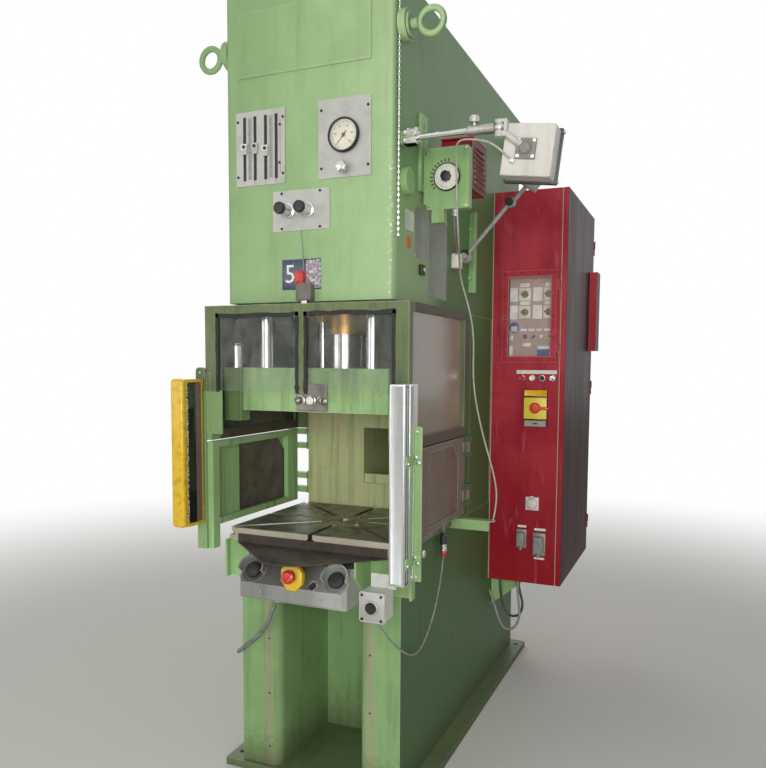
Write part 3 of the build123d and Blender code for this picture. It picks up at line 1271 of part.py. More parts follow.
def interlock_switch():
    """Safety switch over the guard: grey housing below a red part."""
    y1 = HEAD_FRONT_Y
    housing = block(-26, 32, y1 - 30, y1, GUARD_TOP_Z + 12, GUARD_TOP_Z + 70)
    housing = fillet(housing.edges().filter_by(Axis.Y), 4)
    red = block(-20, 10, y1 - 26, y1, GUARD_TOP_Z + 70, GUARD_TOP_Z + 112)
    key = block(-8, 12, y1 - 22, y1 - 16, GUARD_TOP_Z, GUARD_TOP_Z + 12)
    return housing + red + key


def cabinet_body():
    """Shell of the switch cabinet, open to the right, with the recessed operator panel."""
    t = CABINET_SHEET_T
    x0, x1 = CABINET_X0, CABINET_SHELL_X1
    y0, y1 = CABINET_FRONT_Y, CABINET_REAR_Y
    z0, z1 = CABINET_Z0, CABINET_Z1
    shell = block(x0, x1, y0, y1, z0, z1)
    room = block(x0 + t, x1 + 1, y0 + t, y1 - t, z0 + t, z1 - t)
    px0 = x0 + PANEL_X0
    px1 = px0 + PANEL_W
    pz0 = PANEL_Z0
    pz1 = PANEL_Z0 + PANEL_H
    e = PANEL_EDGE
    tray = block(px0 + e - t, px1 - e + t, y0, y0 + PANEL_RECESS_D + t, pz0 + e - t, pz1 - e + t)
    shell = shell - (room - tray)
    shell -= block(px0 + e, px1 - e, y0 - 1, y0 + PANEL_RECESS_D, pz0 + e, pz1 - e)
    rim = block(x1 - t, x1, y0, y1, z0, z1)
    rim += block(x1, x1 + CABINET_SEAL_GAP - SEAT_GAP, y0 + 6, y1 - 6, z0 + 6, z1 - 6)
    rim -= block(x1 - t - 1, x1 + CABINET_SEAL_GAP, y0 + 24, y1 - 24, z0 + 24, z1 - 24)
    shell += rim
    gear = block(x0 + t, x0 + t + GEAR_PLATE_T + 16, y0 + 60, y1 - 60, z0 + 90, z1 - 90)
    shell += gear
    for z in (z0 + 260, z0 + 560, z0 + 860, z1 - 420):
        shell += block(x0 + t + 20, x0 + t + 110, y0 + 130, y1 - 110, z, z + 110)
    return shell


def cabinet_door():
    """Wide door on the cabinet's right side, with the fan box and the hinge knuckles."""
    x1 = CABINET_X1
    x0 = x1 - CABINET_DOOR_T
    y0, y1 = CABINET_FRONT_Y, CABINET_REAR_Y
    door = block(x0, x1, y0, y1, CABINET_Z0, CABINET_Z1)
    door = fillet(door.edges().filter_by(Axis.Z), 3)
    reach, length, fz0, fz1 = FAN_BOX
    door += block(x1, x1 + reach, y1 - length - 8, y1 - 8, fz0, fz1)
    axis_x, axis_y = cabinet_hinge()
    for z in CABINET_HINGES_Z:
        knuckle = rod_z(axis_x, axis_y, z, z + 40, CABINET_HINGE_R)
        knuckle += block(x1 - 14, axis_x, y1 - 1, y1 + 4, z, z + 40)
        knuckle -= rod_z(axis_x, axis_y, z - 1, z + 41, 4 + RUNNING_GAP)
        door += knuckle
    return door


def cabinet_hinge():
    """Hinge line of the cabinet's side door, at its rear edge."""
    return CABINET_X1 - 2, CABINET_REAR_Y + CABINET_HINGE_R + 1


def cabinet_hinge_pins():
    """Fixed halves of the cabinet hinges with their pins."""
    axis_x, axis_y = cabinet_hinge()
    pieces = []
    for z in CABINET_HINGES_Z:
        pin = rod_z(axis_x, axis_y, z - 36, z + 40, 4)
        knuckle = rod_z(axis_x, axis_y, z - 37, z - 1, CABINET_HINGE_R)
        leaf = block(CABINET_SHELL_X1 - 30, axis_x, CABINET_REAR_Y, CABINET_REAR_Y + 5, z - 37, z - 1)
        leaf -= block(CABINET_SHELL_X1, axis_x + 1, CABINET_REAR_Y - 1, CABINET_REAR_Y + 0.5, z - 38, z)
        pieces.append(pin + knuckle + leaf)
    return group(pieces)


def window_axis():
    """Hinge line of the window door on the cabinet's front."""
    x = CABINET_X0 + PANEL_X0 + PANEL_W + WINDOW_HINGE_R + 2
    return x, CABINET_FRONT_Y - WINDOW_HINGE_R - 1


def window_door():
    """Frame of the window over the operator panel, with hinge knuckles on its right."""
    x0 = CABINET_X0 + PANEL_X0
    x1 = x0 + PANEL_W
    z0 = PANEL_Z0
    z1 = PANEL_Z0 + PANEL_H
    y1 = CABINET_FRONT_Y - SEAT_GAP
    y0 = y1 - WINDOW_FRAME_T
    w = WINDOW_FRAME_W
    frame = block(x0, x1, y0, y1, z0, z1)
    frame -= block(x0 + w, x1 - w, y0 - 1, y1 + 1, z0 + w, z1 - w)
    axis_x, axis_y = window_axis()
    for z in (z0 + 52, z1 - 92):
        knuckle = rod_z(axis_x, axis_y, z, z + 40, WINDOW_HINGE_R)
        knuckle += block(x1 - 6, axis_x, axis_y - 4, axis_y + 2, z, z + 40)
        knuckle -= rod_z(axis_x, axis_y, z - 1, z + 41, 3 + RUNNING_GAP)
        frame += knuckle
    frame += block(x0 + 6, x0 + 20, y0 - 8, y0, (z0 + z1) / 2 - 12, (z0 + z1) / 2 + 12)
    return frame


def window_pane():
    """Clear pane in the rebate of the window door."""
    w = WINDOW_FRAME_W
    x0 = CABINET_X0 + PANEL_X0 + w
    x1 = CABINET_X0 + PANEL_X0 + PANEL_W - w
    y0 = CABINET_FRONT_Y - SEAT_GAP - WINDOW_FRAME_T / 2
    return block(x0, x1, y0, y0 + PANE_T, PANEL_Z0 + w, PANEL_Z0 + PANEL_H - w)


def cabinet_fittings():
    """Window hinge pins, selectors, button bezels, main switch plate, socket and connectors."""
    y = CABINET_FRONT_Y
    pieces = []
    axis_x, axis_y = window_axis()
    for z in (PANEL_Z0 + 52, PANEL_Z0 + PANEL_H - 92):
        pin = rod_z(axis_x, axis_y, z - 22, z + 40, 3)
        pin += rod_z(axis_x, axis_y, z - 24, z - 1, WINDOW_HINGE_R)
        pin += block(axis_x - 6, axis_x + 12, axis_y, y, z - 24, z - 1)
        pieces.append(pin)
    panel_y = y + PANEL_RECESS_D
    centre_x = CABINET_X0 + PANEL_X0 + PANEL_W / 2 + 1
    for i in (-1, 1):
        for k in (0, 1):
            x = centre_x + i * SELECTOR_PITCH_X / 2
            z = SELECTOR_Z - k * SELECTOR_PITCH_Z
            knob = rod_y(x, panel_y - 22, panel_y, z, SELECTOR_R)
            grip = block(x - 4, x + 4, panel_y - 30, panel_y - 22, z - SELECTOR_R, z + SELECTOR_R)
            pieces.append(knob + grip)
    for i in range(4):
        x = CABINET_X0 + BUTTON_X0 + i * BUTTON_PITCH
        bezel = rod_y(x, y - 6, y, BUTTON_Z, BUTTON_BEZEL_R)
        bezel -= rod_y(x, y - 7, y - 1, BUTTON_Z, BUTTON_R + 0.5)
        if i == 3:
            bezel += rod_y(x, y - 8, y - 1, BUTTON_Z, BUTTON_R - 1)
        pieces.append(bezel)
    sx = CABINET_X0 + SWITCH_X
    switch = block(sx - SWITCH_W / 2, sx + SWITCH_W / 2, y - SWITCH_T, y,
                   SWITCH_Z - SWITCH_H / 2, SWITCH_Z + SWITCH_H / 2)
    switch = fillet(switch.edges().filter_by(Axis.Y), 5)
    switch -= rod_y(sx, y - SWITCH_T - 1, y - SWITCH_T + 8, SWITCH_Z, 8)
    pieces.append(switch)
    ox = CABINET_X0 + SOCKET_X
    socket = block(ox - SOCKET_SIZE / 2, ox + SOCKET_SIZE / 2, y - SOCKET_T, y,
                   SOCKET_Z - SOCKET_SIZE / 2, SOCKET_Z + SOCKET_SIZE / 2)
    pieces.append(fillet(socket.edges().filter_by(Axis.Y), 5))
    for cx, cz, w, h in CONNECTORS:
        x = CABINET_X0 + cx
        body = block(x - w / 2, x + w / 2, y - 10, y, cz - h / 2, cz + h / 2)
        hood = block(x - w * 0.36, x + w * 0.36, y - CONNECTOR_T, y - 10, cz - h * 0.36, cz + h * 0.36)
        hood = fillet(hood.edges().filter_by(Axis.X).group_by(Axis.Y)[0], 9)
        pieces.append(body + hood)
    return group(pieces)


def push_button(index):
    """Flat push button in the row under the window."""
    x = CABINET_X0 + BUTTON_X0 + index * BUTTON_PITCH
    y = CABINET_FRONT_Y
    button = rod_y(x, y - BUTTON_H - 3, y - 1 - BUTTON_TRAVEL - 0.5, BUTTON_Z, BUTTON_R)
    return fillet(button.edges().group_by(Axis.Y)[0], 2)


def main_switch_handle():
    """Rotary handle of the main switch, pointing to the right."""
    sx = CABINET_X0 + SWITCH_X
    y1 = CABINET_FRONT_Y - SWITCH_T - 1
    hub = rod_y(sx, y1 - 20, y1, SWITCH_Z, SWITCH_HANDLE_R)
    lever = block(sx, sx + SWITCH_HANDLE_L, y1 - 30, y1 - 8, SWITCH_Z - 8, SWITCH_Z + 8)
    lever = fillet(lever.edges().filter_by(Axis.Y), 6)
    stem = rod_y(sx, y1 - 1, y1 + 8, SWITCH_Z, 7.5)
    return hub + lever + stem


def cabinet_support():
    """Triangular bracket under the cabinet, welded to the base's side."""
    x0 = HALF_W
    z1 = CABINET_Z0
    pieces = []
    for y in (SUPPORT_Y, FRAME_REAR_Y - 60):
        web = prism_y([(x0, z1 - SUPPORT_T), (x0 + SUPPORT_REACH, z1 - SUPPORT_T),
                       (x0 + SUPPORT_REACH, z1 - SUPPORT_LIP), (x0, z1 - SUPPORT_H)], y, y + SUPPORT_T)
        shelf = block(x0, x0 + SUPPORT_REACH + SUPPORT_SHELF, y, y + SUPPORT_SHELF_W, z1 - SUPPORT_T, z1)
        pieces.append(web + shelf)
    return group(pieces)


def cable_hook():
    """Folded bracket beside the throat, with a rounded outer end."""
    x0 = HALF_W
    x1 = x0 + HOOK_REACH
    y0 = HOOK_Y - HOOK_W / 2
    y1 = HOOK_Y + HOOK_W / 2
    top = block(x0, x1, y0, y1, HOOK_Z - HOOK_T, HOOK_Z)
    top = fillet(top.edges().filter_by(Axis.Z).group_by(Axis.X)[-1], HOOK_W * 0.45)
    lip = block(x0, x1 - 22, y0, y0 + HOOK_T, HOOK_Z - HOOK_H, HOOK_Z)
    return top + lip


def cable_plug():
    """Round plug and coupling hanging beside the base."""
    x, y = PLUG_X, PLUG_Y
    z1 = HOOK_Z - PLUG_DROP
    coupling = Pos(x, y, 0) * turned([(0, z1 - COUPLING_L), (PLUG_R, z1 - COUPLING_L), (PLUG_R, z1 - 8),
                                      (8, z1), (0, z1)])
    plug = Pos(x, y, 0) * turned([(0, z1 - PLUG_L), (7, z1 - PLUG_L), (PLUG_R - 3, z1 - PLUG_L + 12),
                                  (PLUG_R - 3, z1 - COUPLING_L), (0, z1 - COUPLING_L)])
    return coupling + plug


def power_pack():
    """Motor, pump, valve block and pressure pipe inside the head."""
    z0 = HEAD_BOTTOM_Z + HEAD_FLOOR_T
    z1 = z0 + PACK_FOOT_T
    feet = block(-PACK_FOOT_W / 2, PACK_FOOT_W / 2, PACK_Y - PACK_FOOT_FRONT, PACK_Y + PACK_FOOT_REAR, z0, z1)
    zc = z1 + MOTOR_R
    motor_y = PACK_Y - MOTOR_FRONT
    motor = rod_y(0, motor_y, motor_y + MOTOR_L, zc, MOTOR_R)
    saddle = block(-SADDLE_W / 2, SADDLE_W / 2, PACK_Y - SADDLE_FRONT, PACK_Y + SADDLE_REAR, z1, zc)
    pump_y = motor_y - PUMP_L
    pump = rod_y(0, pump_y, motor_y + 1, zc, PUMP_R)
    half = VALVE_BLOCK / 2
    valve = block(-half, half, pump_y - VALVE_BLOCK, pump_y + 1, z0, zc + half)
    barrel_y = RAM_Y + CYLINDER_BORE_R + CYLINDER_WALL_T
    pipe = rod_y(0, barrel_y + SEAT_GAP, pump_y - VALVE_BLOCK + 1, zc + half - PIPE_DROP, PRESSURE_PIPE_R)
    return feet + saddle + motor + pump + valve + pipe


def cable(points, radius, name):
    """Round cord along straight runs joined by arcs."""
    vectors = [Vector(*p) for p in points]
    radii = []
    for before, corner, after in zip(vectors, vectors[1:], vectors[2:]):
        one = corner - before
        two = after - corner
        turn = math.radians(one.get_angle(two))
        radii.append(0.45 * min(one.length, two.length) / math.tan(turn / 2))
    path = FilletPolyline(*vectors, radius=radii)
    solid = sweep(path.location_at(0) * Circle(radius), path=path)
    expected = math.pi * radius ** 2 * path.length
    tightest = min(radii) / (2 * radius)
    print(f"{name}: length {path.length:.0f}, least radius {min(radii):.0f} = {tightest:.1f} diameters,"
          f" volume {solid.volume / expected:.3f} of section x length")
    return solid


def along_frame(points):
    """Route points whose X is measured from the frame's right side."""
    return [(HALF_W + x, y, z) for x, y, z in points]


# Routes of the cables; X from the frame's right side
BUTTON_CABLE = (
    (7, -1066, 754), (11, -1024, 709), (15, -980, 667), (19, -934, 628), (20, -883, 593),
    (20, -831, 561), (21, -775, 537), (21, -714, 531), (20, -655, 547), (20, -603, 579),
    (20, -556, 618), (20, -517, 665), (21, -486, 718), (22, -464, 775), (23, -448, 834),
)
PLUG_LEAD = (
    (23, -448, 928), (24, -446, 975), (26, -414, 1009), (26, -367, 1007),
    (25, -330, 985), (24, -303, 962),
)
TERMINAL_CABLE = (
    (379, -829, 2262), (331, -862, 2319), (254, -855, 2346), (183, -830, 2356), (159, -757, 2326),
    (148, -718, 2256), (147, -709, 2174), (145, -688, 2094), (129, -626, 2044), (105, -548, 2026),
    (81, -469, 2015), (57, -393, 1992), (47, -331, 1939), (66, -308, 1863), (86, -305, 1782),
    (94, -305, 1699), (93, -304, 1616), (95, -304, 1533), (107, -303, 1450), (125, -302, 1369),
    (146, -300, 1289), (171, -299, 1209), (193, -297, 1129), (203, -299, 1046), (187, -300, 965),
)
OUTER_LOOP = (
    (-7, 348, 480), (27, 330, 412), (55, 312, 345), (87, 305, 288),
    (147, 306, 300), (167, 318, 372), (149, 334, 456), (143, 342, 545),
)
INNER_LOOP = (
    (51, 354, 545), (55, 352, 460), (75, 347, 385), (107, 345, 346),
    (153, 346, 352), (175, 350, 404), (155, 356, 472), (137, 360, 545),
)
CONSOLE_CONDUIT = (
    (-90, -985, CONSOLE_Z0 + 1), (-142, -955, 657), (-222, -908, 568), (2 - HALF_W, -890, 480),
    (-41 - HALF_W, -796, 452), (3 - HALF_W, -660, 482),
)


def button_cable():
    """Cable from the button box to the plug, and the short lead over the cable hook."""
    main_run = cable(along_frame(BUTTON_CABLE), BUTTON_CABLE_R, "button cable")
    main_run -= block(BUTTON_BOX_X - 20, BUTTON_BOX_X + 20, -1100, -1040, BUTTON_BOX_Z0 - 14, BUTTON_BOX_Z0)
    plug_z = HOOK_Z - PLUG_DROP
    main_run -= block(PLUG_X - 20, PLUG_X + 20, PLUG_Y - 20, PLUG_Y + 20, plug_z - PLUG_L, plug_z)
    lead = cable(along_frame(PLUG_LEAD), BUTTON_CABLE_R, "plug lead")
    lead -= block(PLUG_X - 20, PLUG_X + 20, PLUG_Y - 20, PLUG_Y + 20, plug_z - PLUG_L, plug_z)
    lead -= block(PLUG_X - 20, PLUG_X + 20, HOOK_Y - 30, HOOK_Y + 30, HOOK_Z - 20, HOOK_Z)
    return group([main_run, lead])


def terminal_cable():
    """Cable from the terminal's back, past the tie on the arm and down to the cable hook."""
    run = cable(along_frame(TERMINAL_CABLE), TERMINAL_CABLE_R, "terminal cable")
    back = ARM_Y + 26
    run -= block(TERMINAL_X - 80, TERMINAL_X, back, back + 20, TERMINAL_Z - 80, TERMINAL_Z)
    run -= block(HALF_W, HALF_W + HOOK_REACH + 20, HOOK_Y - 30, HOOK_Y + 30, HOOK_Z - 20, HOOK_Z)
    return run


def console_conduit():
    """Conduit from the console's underside round to the base's left side."""
    run = cable(CONSOLE_CONDUIT, CONDUIT_R, "console conduit")
    run -= block(-HALF_W, 0, -720, -600, 400, 560)
    run -= block(-120, -60, -1010, -960, CONSOLE_Z0, CONSOLE_Z0 + 20)
    return run


def cabinet_cables():
    """Two loops of cable under the switch cabinet."""
    outer = cable(along_frame(OUTER_LOOP), CABINET_CABLE_R, "outer cabinet loop")
    inner = cable(along_frame(INNER_LOOP), CABINET_CABLE_R, "inner cabinet loop")
    walls = block(HALF_W - 30, HALF_W, 300, 400, 420, 530)
    walls += block(HALF_W, HALF_W + 200, 300, 400, CABINET_Z0, CABINET_Z0 + 20)
    return group([outer - walls, inner - walls])


def main():
    save("base_frame", base_frame())
    save("column_box", column_box())
    save("head_box", head_box())
    save("cylinder_barrel", cylinder_barrel())
    save("guide_bushes", guide_bushes())
    save("power_pack", power_pack())
    save("table_plate", table_plate())
    save("table_apron", table_apron())
    save("slide_plate", slide_plate())
    save("ram_rod", ram_rod())
    save("guide_rods", slide_rods())
    save("shank_clamp", shank_clamp())
    save("guard_frame", guard_frame())
    save("guard_panes", guard_panes())
    save("guard_gaskets", guard_gaskets())
    save("interlock_switch", interlock_switch())
    for side, name in ((-1, "left"), (1, "right")):
        save(f"door_{name}", side_door(side))
        save(f"pane_{name}", door_pane(side))
        save(f"light_curtain_{name}", light_curtain(side))
        save(f"palm_button_{name}", palm_button(side))
    save("console_brackets", console_brackets())
    save("console_body", console_body())
    save("console_button", console_button())
    save("estop_block", estop_block())
    save("estop_mushroom", estop_head())
    save("button_box", button_box())
    save("box_button", box_button())
    save("front_plates", front_plates())
    save("pressure_gauge", pressure_gauge())
    save("gauge_needle", gauge_needle())
    save("gauge_valve", gauge_valve())
    for x, name in zip(VALVE_X, ("left", "right")):
        save(f"valve_knob_{name}", valve_knob(x))
    save("lifting_eyes", lifting_eyes())
    save("side_fittings", group([side_fittings(), door_hinges(), cable_hook(), cabinet_support()]))
    save("arm_pipe", terminal_arm())
    save("terminal", terminal())
    save("dial_box", dial_box())
    save("dial_knob", dial_knob())
    save("louvre_box", louvre_box())
    save("lamp_lower_arm", lamp_lower_arm())
    save("lamp_upper_arm", lamp_upper_arm())
    save("cabinet_body", cabinet_body())
    save("cabinet_door", cabinet_door())
    save("window_door", window_door())
    save("window_pane", window_pane())
    save("cabinet_fittings", group([cabinet_fittings(), cabinet_hinge_pins()]))
    save("main_switch_handle", main_switch_handle())
    for index, name in enumerate(("red", "white", "black")):
        save(f"push_button_{name}", push_button(index))
    save("cable_plug", cable_plug())
    save("button_cable", button_cable())
    save("terminal_cable", terminal_cable())
    save("console_conduit", console_conduit())
    save("cabinet_cables", cabinet_cables())


if __name__ == "__main__":
    main()
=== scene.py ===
import math
import bmesh
import bpy
from mathutils import Matrix, Vector


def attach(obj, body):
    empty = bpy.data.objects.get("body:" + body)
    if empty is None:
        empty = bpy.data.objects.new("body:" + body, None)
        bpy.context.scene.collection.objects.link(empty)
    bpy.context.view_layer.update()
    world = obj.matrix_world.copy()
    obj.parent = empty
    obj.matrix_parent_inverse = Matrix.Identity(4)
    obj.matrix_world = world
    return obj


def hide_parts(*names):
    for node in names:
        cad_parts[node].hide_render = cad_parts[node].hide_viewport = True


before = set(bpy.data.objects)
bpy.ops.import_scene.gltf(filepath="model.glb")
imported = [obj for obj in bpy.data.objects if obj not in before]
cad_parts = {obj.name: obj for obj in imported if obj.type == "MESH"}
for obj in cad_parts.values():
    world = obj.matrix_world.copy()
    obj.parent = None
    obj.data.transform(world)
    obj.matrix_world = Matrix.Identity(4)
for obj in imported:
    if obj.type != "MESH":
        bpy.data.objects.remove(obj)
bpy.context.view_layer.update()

# Viewpoint, floor and soft light. The camera stands to the right of the press at
# head height and looks slightly down. The floor is plain and pale, and fades to
# white away from the press.
scene = bpy.context.scene
scene.view_settings.view_transform = "Standard"
camera = bpy.data.cameras.new("viewpoint")
camera.lens = 34.99
camera.shift_x = -0.0169
camera.shift_y = 0.0497
viewpoint = bpy.data.objects.new("viewpoint", camera)
viewpoint.location = (1.3273, -3.2705, 1.6052)
viewpoint.rotation_euler = [math.radians(turn) for turn in (85.593, -0.388, 22.716)]
scene.collection.objects.link(viewpoint)
scene.camera = viewpoint


def linear(hex_colour):
    """sRGB hex colour as linear red, green, blue and 1."""
    parts = [int(hex_colour[i:i + 2], 16) / 255 for i in (1, 3, 5)]
    return [p / 12.92 if p <= 0.04045 else ((p + 0.055) / 1.055) ** 2.4 for p in parts] + [1.0]


def add(tree, kind, inputs=None, stops=None, **settings):
    """Add a node; each input is a value, a socket, or a node whose first output feeds it."""
    new = tree.nodes.new("ShaderNode" + kind)
    for name, value in settings.items():
        setattr(new, name, value)
    if stops:
        elements = new.color_ramp.elements
        elements[0].position, elements[0].color = stops[0]
        elements[1].position, elements[1].color = stops[-1]
        for position, tint in stops[1:-1]:
            elements.new(position).color = tint
    for socket, value in (inputs or {}).items():
        if isinstance(value, bpy.types.Node):
            value = value.outputs[0]
        if isinstance(value, bpy.types.NodeSocket):
            tree.links.new(value, new.inputs[socket])
        else:
            new.inputs[socket].default_value = value
    return new


def calc(tree, operation, *values):
    """Math node with one to three values."""
    return add(tree, "Math", dict(enumerate(values)), operation=operation)


def area_light(name, place, target, size, watts):
    """Square soft light aimed at a point."""
    lamp = bpy.data.lights.new(name, "AREA")
    lamp.size = size
    lamp.energy = watts
    holder = bpy.data.objects.new(name, lamp)
    holder.location = place
    holder.rotation_euler = (Vector(target) - Vector(place)).to_track_quat("-Z", "Y").to_euler()
    scene.collection.objects.link(holder)


area_light("front_light", (1.9, -5.8, 2.0), (0.1, -0.5, 1.3), 2.4, 160)
area_light("rear_light", (-3.4, 4.6, 4.6), (0.0, 0.2, 1.4), 3.2, 60)
area_light("left_light", (-3.4, -5.2, 2.4), (-0.1, -0.5, 1.3), 2.6, 34)

world = bpy.data.worlds.new("white_room")
scene.world = world
world.use_nodes = True
sky = world.node_tree
seen = add(sky, "LightPath")
direct = calc(sky, "MAXIMUM", seen.outputs["Is Camera Ray"], seen.outputs["Is Glossy Ray"])
direct = calc(sky, "MAXIMUM", direct, seen.outputs["Is Transmission Ray"])
level = add(sky, "MapRange", {"Value": direct, "To Min": 0.38, "To Max": 1.0})
sky.nodes["Background"].inputs["Color"].default_value = (1, 1, 1, 1)
sky.links.new(level.outputs["Result"], sky.nodes["Background"].inputs["Strength"])

bpy.ops.object.select_all(action="DESELECT")
bpy.ops.mesh.primitive_plane_add(size=60, location=(0, 0, 0))
floor = bpy.context.object
floor.name = "floor"
pale = bpy.data.materials.new("pale_floor")
pale.use_nodes = True
ground = pale.node_tree
matt = ground.nodes["Principled BSDF"]
matt.inputs["Base Color"].default_value = linear("#DEDCD6")
matt.inputs["Roughness"].default_value = 0.9
spot = add(ground, "TexCoord")
distance = add(ground, "VectorMath", {0: spot.outputs["Object"]}, operation="LENGTH")
fade = add(ground, "MapRange", {"Value": distance.outputs["Value"], "From Min": 2.2, "From Max": 6.5},
           interpolation_type="SMOOTHSTEP")
ray = add(ground, "LightPath")
glow = add(ground, "Emission", {"Color": (1, 1, 1, 1), "Strength": 1.0})
share = calc(ground, "MULTIPLY", ray.outputs["Is Camera Ray"], fade)
blend = add(ground, "MixShader", {0: share, 1: matt, 2: glow})
ground.links.new(blend.outputs[0], ground.nodes["Material Output"].inputs["Surface"])
floor.data.materials.append(pale)


# Flexible cables. A grey cable runs from the button box to a plug beside the base,
# the terminal's cable hangs down the press to a bracket, a ribbed conduit leaves the
# console, and two thick cables loop out of the base into the cabinet.
def cord(name, points, radius, material):
    """Smooth cord along millimetre route points."""
    curve = bpy.data.curves.new(name, "CURVE")
    curve.dimensions = "3D"
    curve.bevel_depth = radius / 1000
    curve.bevel_resolution = 3
    curve.resolution_u = 10
    curve.use_fill_caps = True
    spline = curve.splines.new("NURBS")
    spline.points.add(len(points) - 1)
    for point, (x, y, z) in zip(spline.points, points):
        point.co = (x / 1000, y / 1000, z / 1000, 1)
    spline.use_endpoint_u = True
    spline.order_u = 3
    line = bpy.data.objects.new(name, curve)
    scene.collection.objects.link(line)
    curve.materials.append(material)
    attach(line, "press_frame")
    return line


def new_material(name):
    """Fresh material, its node tree and its shader."""
    material = bpy.data.materials.new(name)
    material.use_nodes = True
    return material, material.node_tree, material.node_tree.nodes["Principled BSDF"]


def feed(tree, socket, source):
    """Lead a node's first output, or a socket, into the material's shader."""
    if isinstance(source, bpy.types.Node):
        source = source.outputs[0]
    tree.links.new(source, tree.nodes["Principled BSDF"].inputs[socket])


def jacket(name, tone, worn, rough, ribs=0):
    """Cable jacket: PVC, dulled and dusty, smooth or ribbed along its length."""
    material, tree, shader = new_material(name)
    shader.inputs["IOR"].default_value = 1.5
    where = add(tree, "TexCoord")
    # dust in 15 mm patches
    dust = add(tree, "TexNoise", {"Vector": where.outputs["Object"], "Scale": 65.0, "Detail": 3.0})
    tint = add(tree, "ValToRGB", {"Fac": dust}, stops=[(0.4, linear(tone)), (0.68, linear(worn))])
    feed(tree, "Base Color", tint)
    shader.inputs["Roughness"].default_value = rough
    if ribs:
        rings = add(tree, "Mapping", {"Vector": where.outputs["UV"], "Scale": (ribs, 1.0, 1.0)})
        wave = add(tree, "TexWave", {"Vector": rings, "Scale": 0.314}, bands_direction="X")
        bump = add(tree, "Bump", {"Height": wave.outputs["Fac"], "Strength": 1.0, "Distance": 0.0015})
        feed(tree, "Normal", bump)
    return material


grey_pvc = jacket("grey_pvc_jacket", "#7C7E7B", "#9A9A93", 0.5)
black_pvc = jacket("black_pvc_jacket", "#2A2B2C", "#4A4A48", 0.45)
pale_pvc = jacket("pale_pvc_jacket", "#A9A698", "#BDBAAC", 0.5)
# rings of the conduit every 3.2 mm on 635 mm
ribbed_steel = jacket("ribbed_conduit_jacket", "#8D8E8A", "#6B6B66", 0.4, ribs=198)

button_cable = cord("button_box_cable", [(344, -1066, 754), (348, -1024, 709), (352, -980, 667),
                                         (356, -934, 628), (357, -883, 593), (357, -831, 561),
                                         (358, -775, 537), (358, -714, 531), (357, -655, 547),
                                         (357, -603, 579), (357, -556, 618), (357, -517, 665),
                                         (358, -486, 718), (359, -464, 775), (360, -448, 834)],
                    3.5, grey_pvc)
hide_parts("button_cable")

plug_lead = cord("plug_lead", [(360, -448, 928), (361, -446, 975), (363, -414, 1009), (363, -367, 1007),
                               (362, -330, 985), (361, -303, 962)], 3.5, grey_pvc)
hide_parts("button_cable")

terminal_cable = cord("terminal_cable_run", [(716, -829, 2262), (668, -862, 2319), (591, -855, 2346),
                                             (520, -830, 2356), (496, -757, 2326), (485, -718, 2256),
                                             (484, -709, 2174), (482, -688, 2094), (466, -626, 2044),
                                             (442, -548, 2026), (418, -469, 2015), (394, -393, 1992),
                                             (384, -331, 1939), (403, -308, 1863), (423, -305, 1782),
                                             (431, -305, 1699), (430, -304, 1616), (432, -304, 1533),
                                             (444, -303, 1450), (462, -302, 1369), (483, -300, 1289),
                                             (508, -299, 1209), (530, -297, 1129), (540, -299, 1046),
                                             (524, -300, 965)], 3.5, pale_pvc)
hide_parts("terminal_cable")

conduit = cord("console_conduit_run", [(-90, -985, 766), (-142, -955, 657), (-222, -908, 568),
                                       (-335, -890, 480), (-378, -796, 452), (-334, -660, 482)],
               8, ribbed_steel)
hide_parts("console_conduit")

outer_loop = cord("outer_cabinet_cable", [(330, 348, 480), (364, 330, 412), (392, 312, 345),
                                          (424, 305, 288), (484, 306, 300), (504, 318, 372),
                                          (486, 334, 456), (480, 342, 545)], 6, grey_pvc)
inner_loop = cord("inner_cabinet_cable", [(388, 354, 545), (392, 352, 460), (412, 347, 385),
                                          (444, 345, 346), (490, 346, 352), (512, 350, 404),
                                          (492, 356, 472), (474, 360, 545)], 6, black_pvc)
for loop, start, length in ((outer_loop, (0.330, 0.348, 0.480), 0.518),
                            (inner_loop, (0.388, 0.354, 0.545), 0.452)):
    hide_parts("cabinet_cables")


# Welded frame: base, column and head of thick steel plate, ground at the welds and
# painted with green machine enamel. Oil and dust dull it, runs of oil darken the
# sides, the faces turned to the right carry a painted shade, and the paint is
# chipped to bare steel along the edges.
def ramp(tree, value, start, end, most=1.0):
    """Rise from 0 to `most` while the value runs from start to end."""
    return add(tree, "MapRange", {"Value": value, "From Min": start, "From Max": end, "To Max": most})


def mix(tree, share, first, second):
    """Colour between two, each a hex colour or what feeds it."""
    first, second = [linear(tone) if isinstance(tone, str) else tone for tone in (first, second)]
    return add(tree, "MixRGB", {"Fac": share, "Color1": first, "Color2": second})


def place_of(tree):
    """Place on the press in metres."""
    return add(tree, "TexCoord").outputs["Object"]


def facing_of(tree):
    """Direction in which the surface faces."""
    return add(tree, "NewGeometry").outputs["Normal"]


def split(tree, vector):
    """X, Y and Z of a place or direction."""
    return add(tree, "SeparateXYZ", {0: vector}).outputs


def coat_of(material):
    """Node tree of a finished material and the colour that its shader gets."""
    tree = material.node_tree
    return tree, tree.nodes["Principled BSDF"].inputs["Base Color"].links[0].from_socket


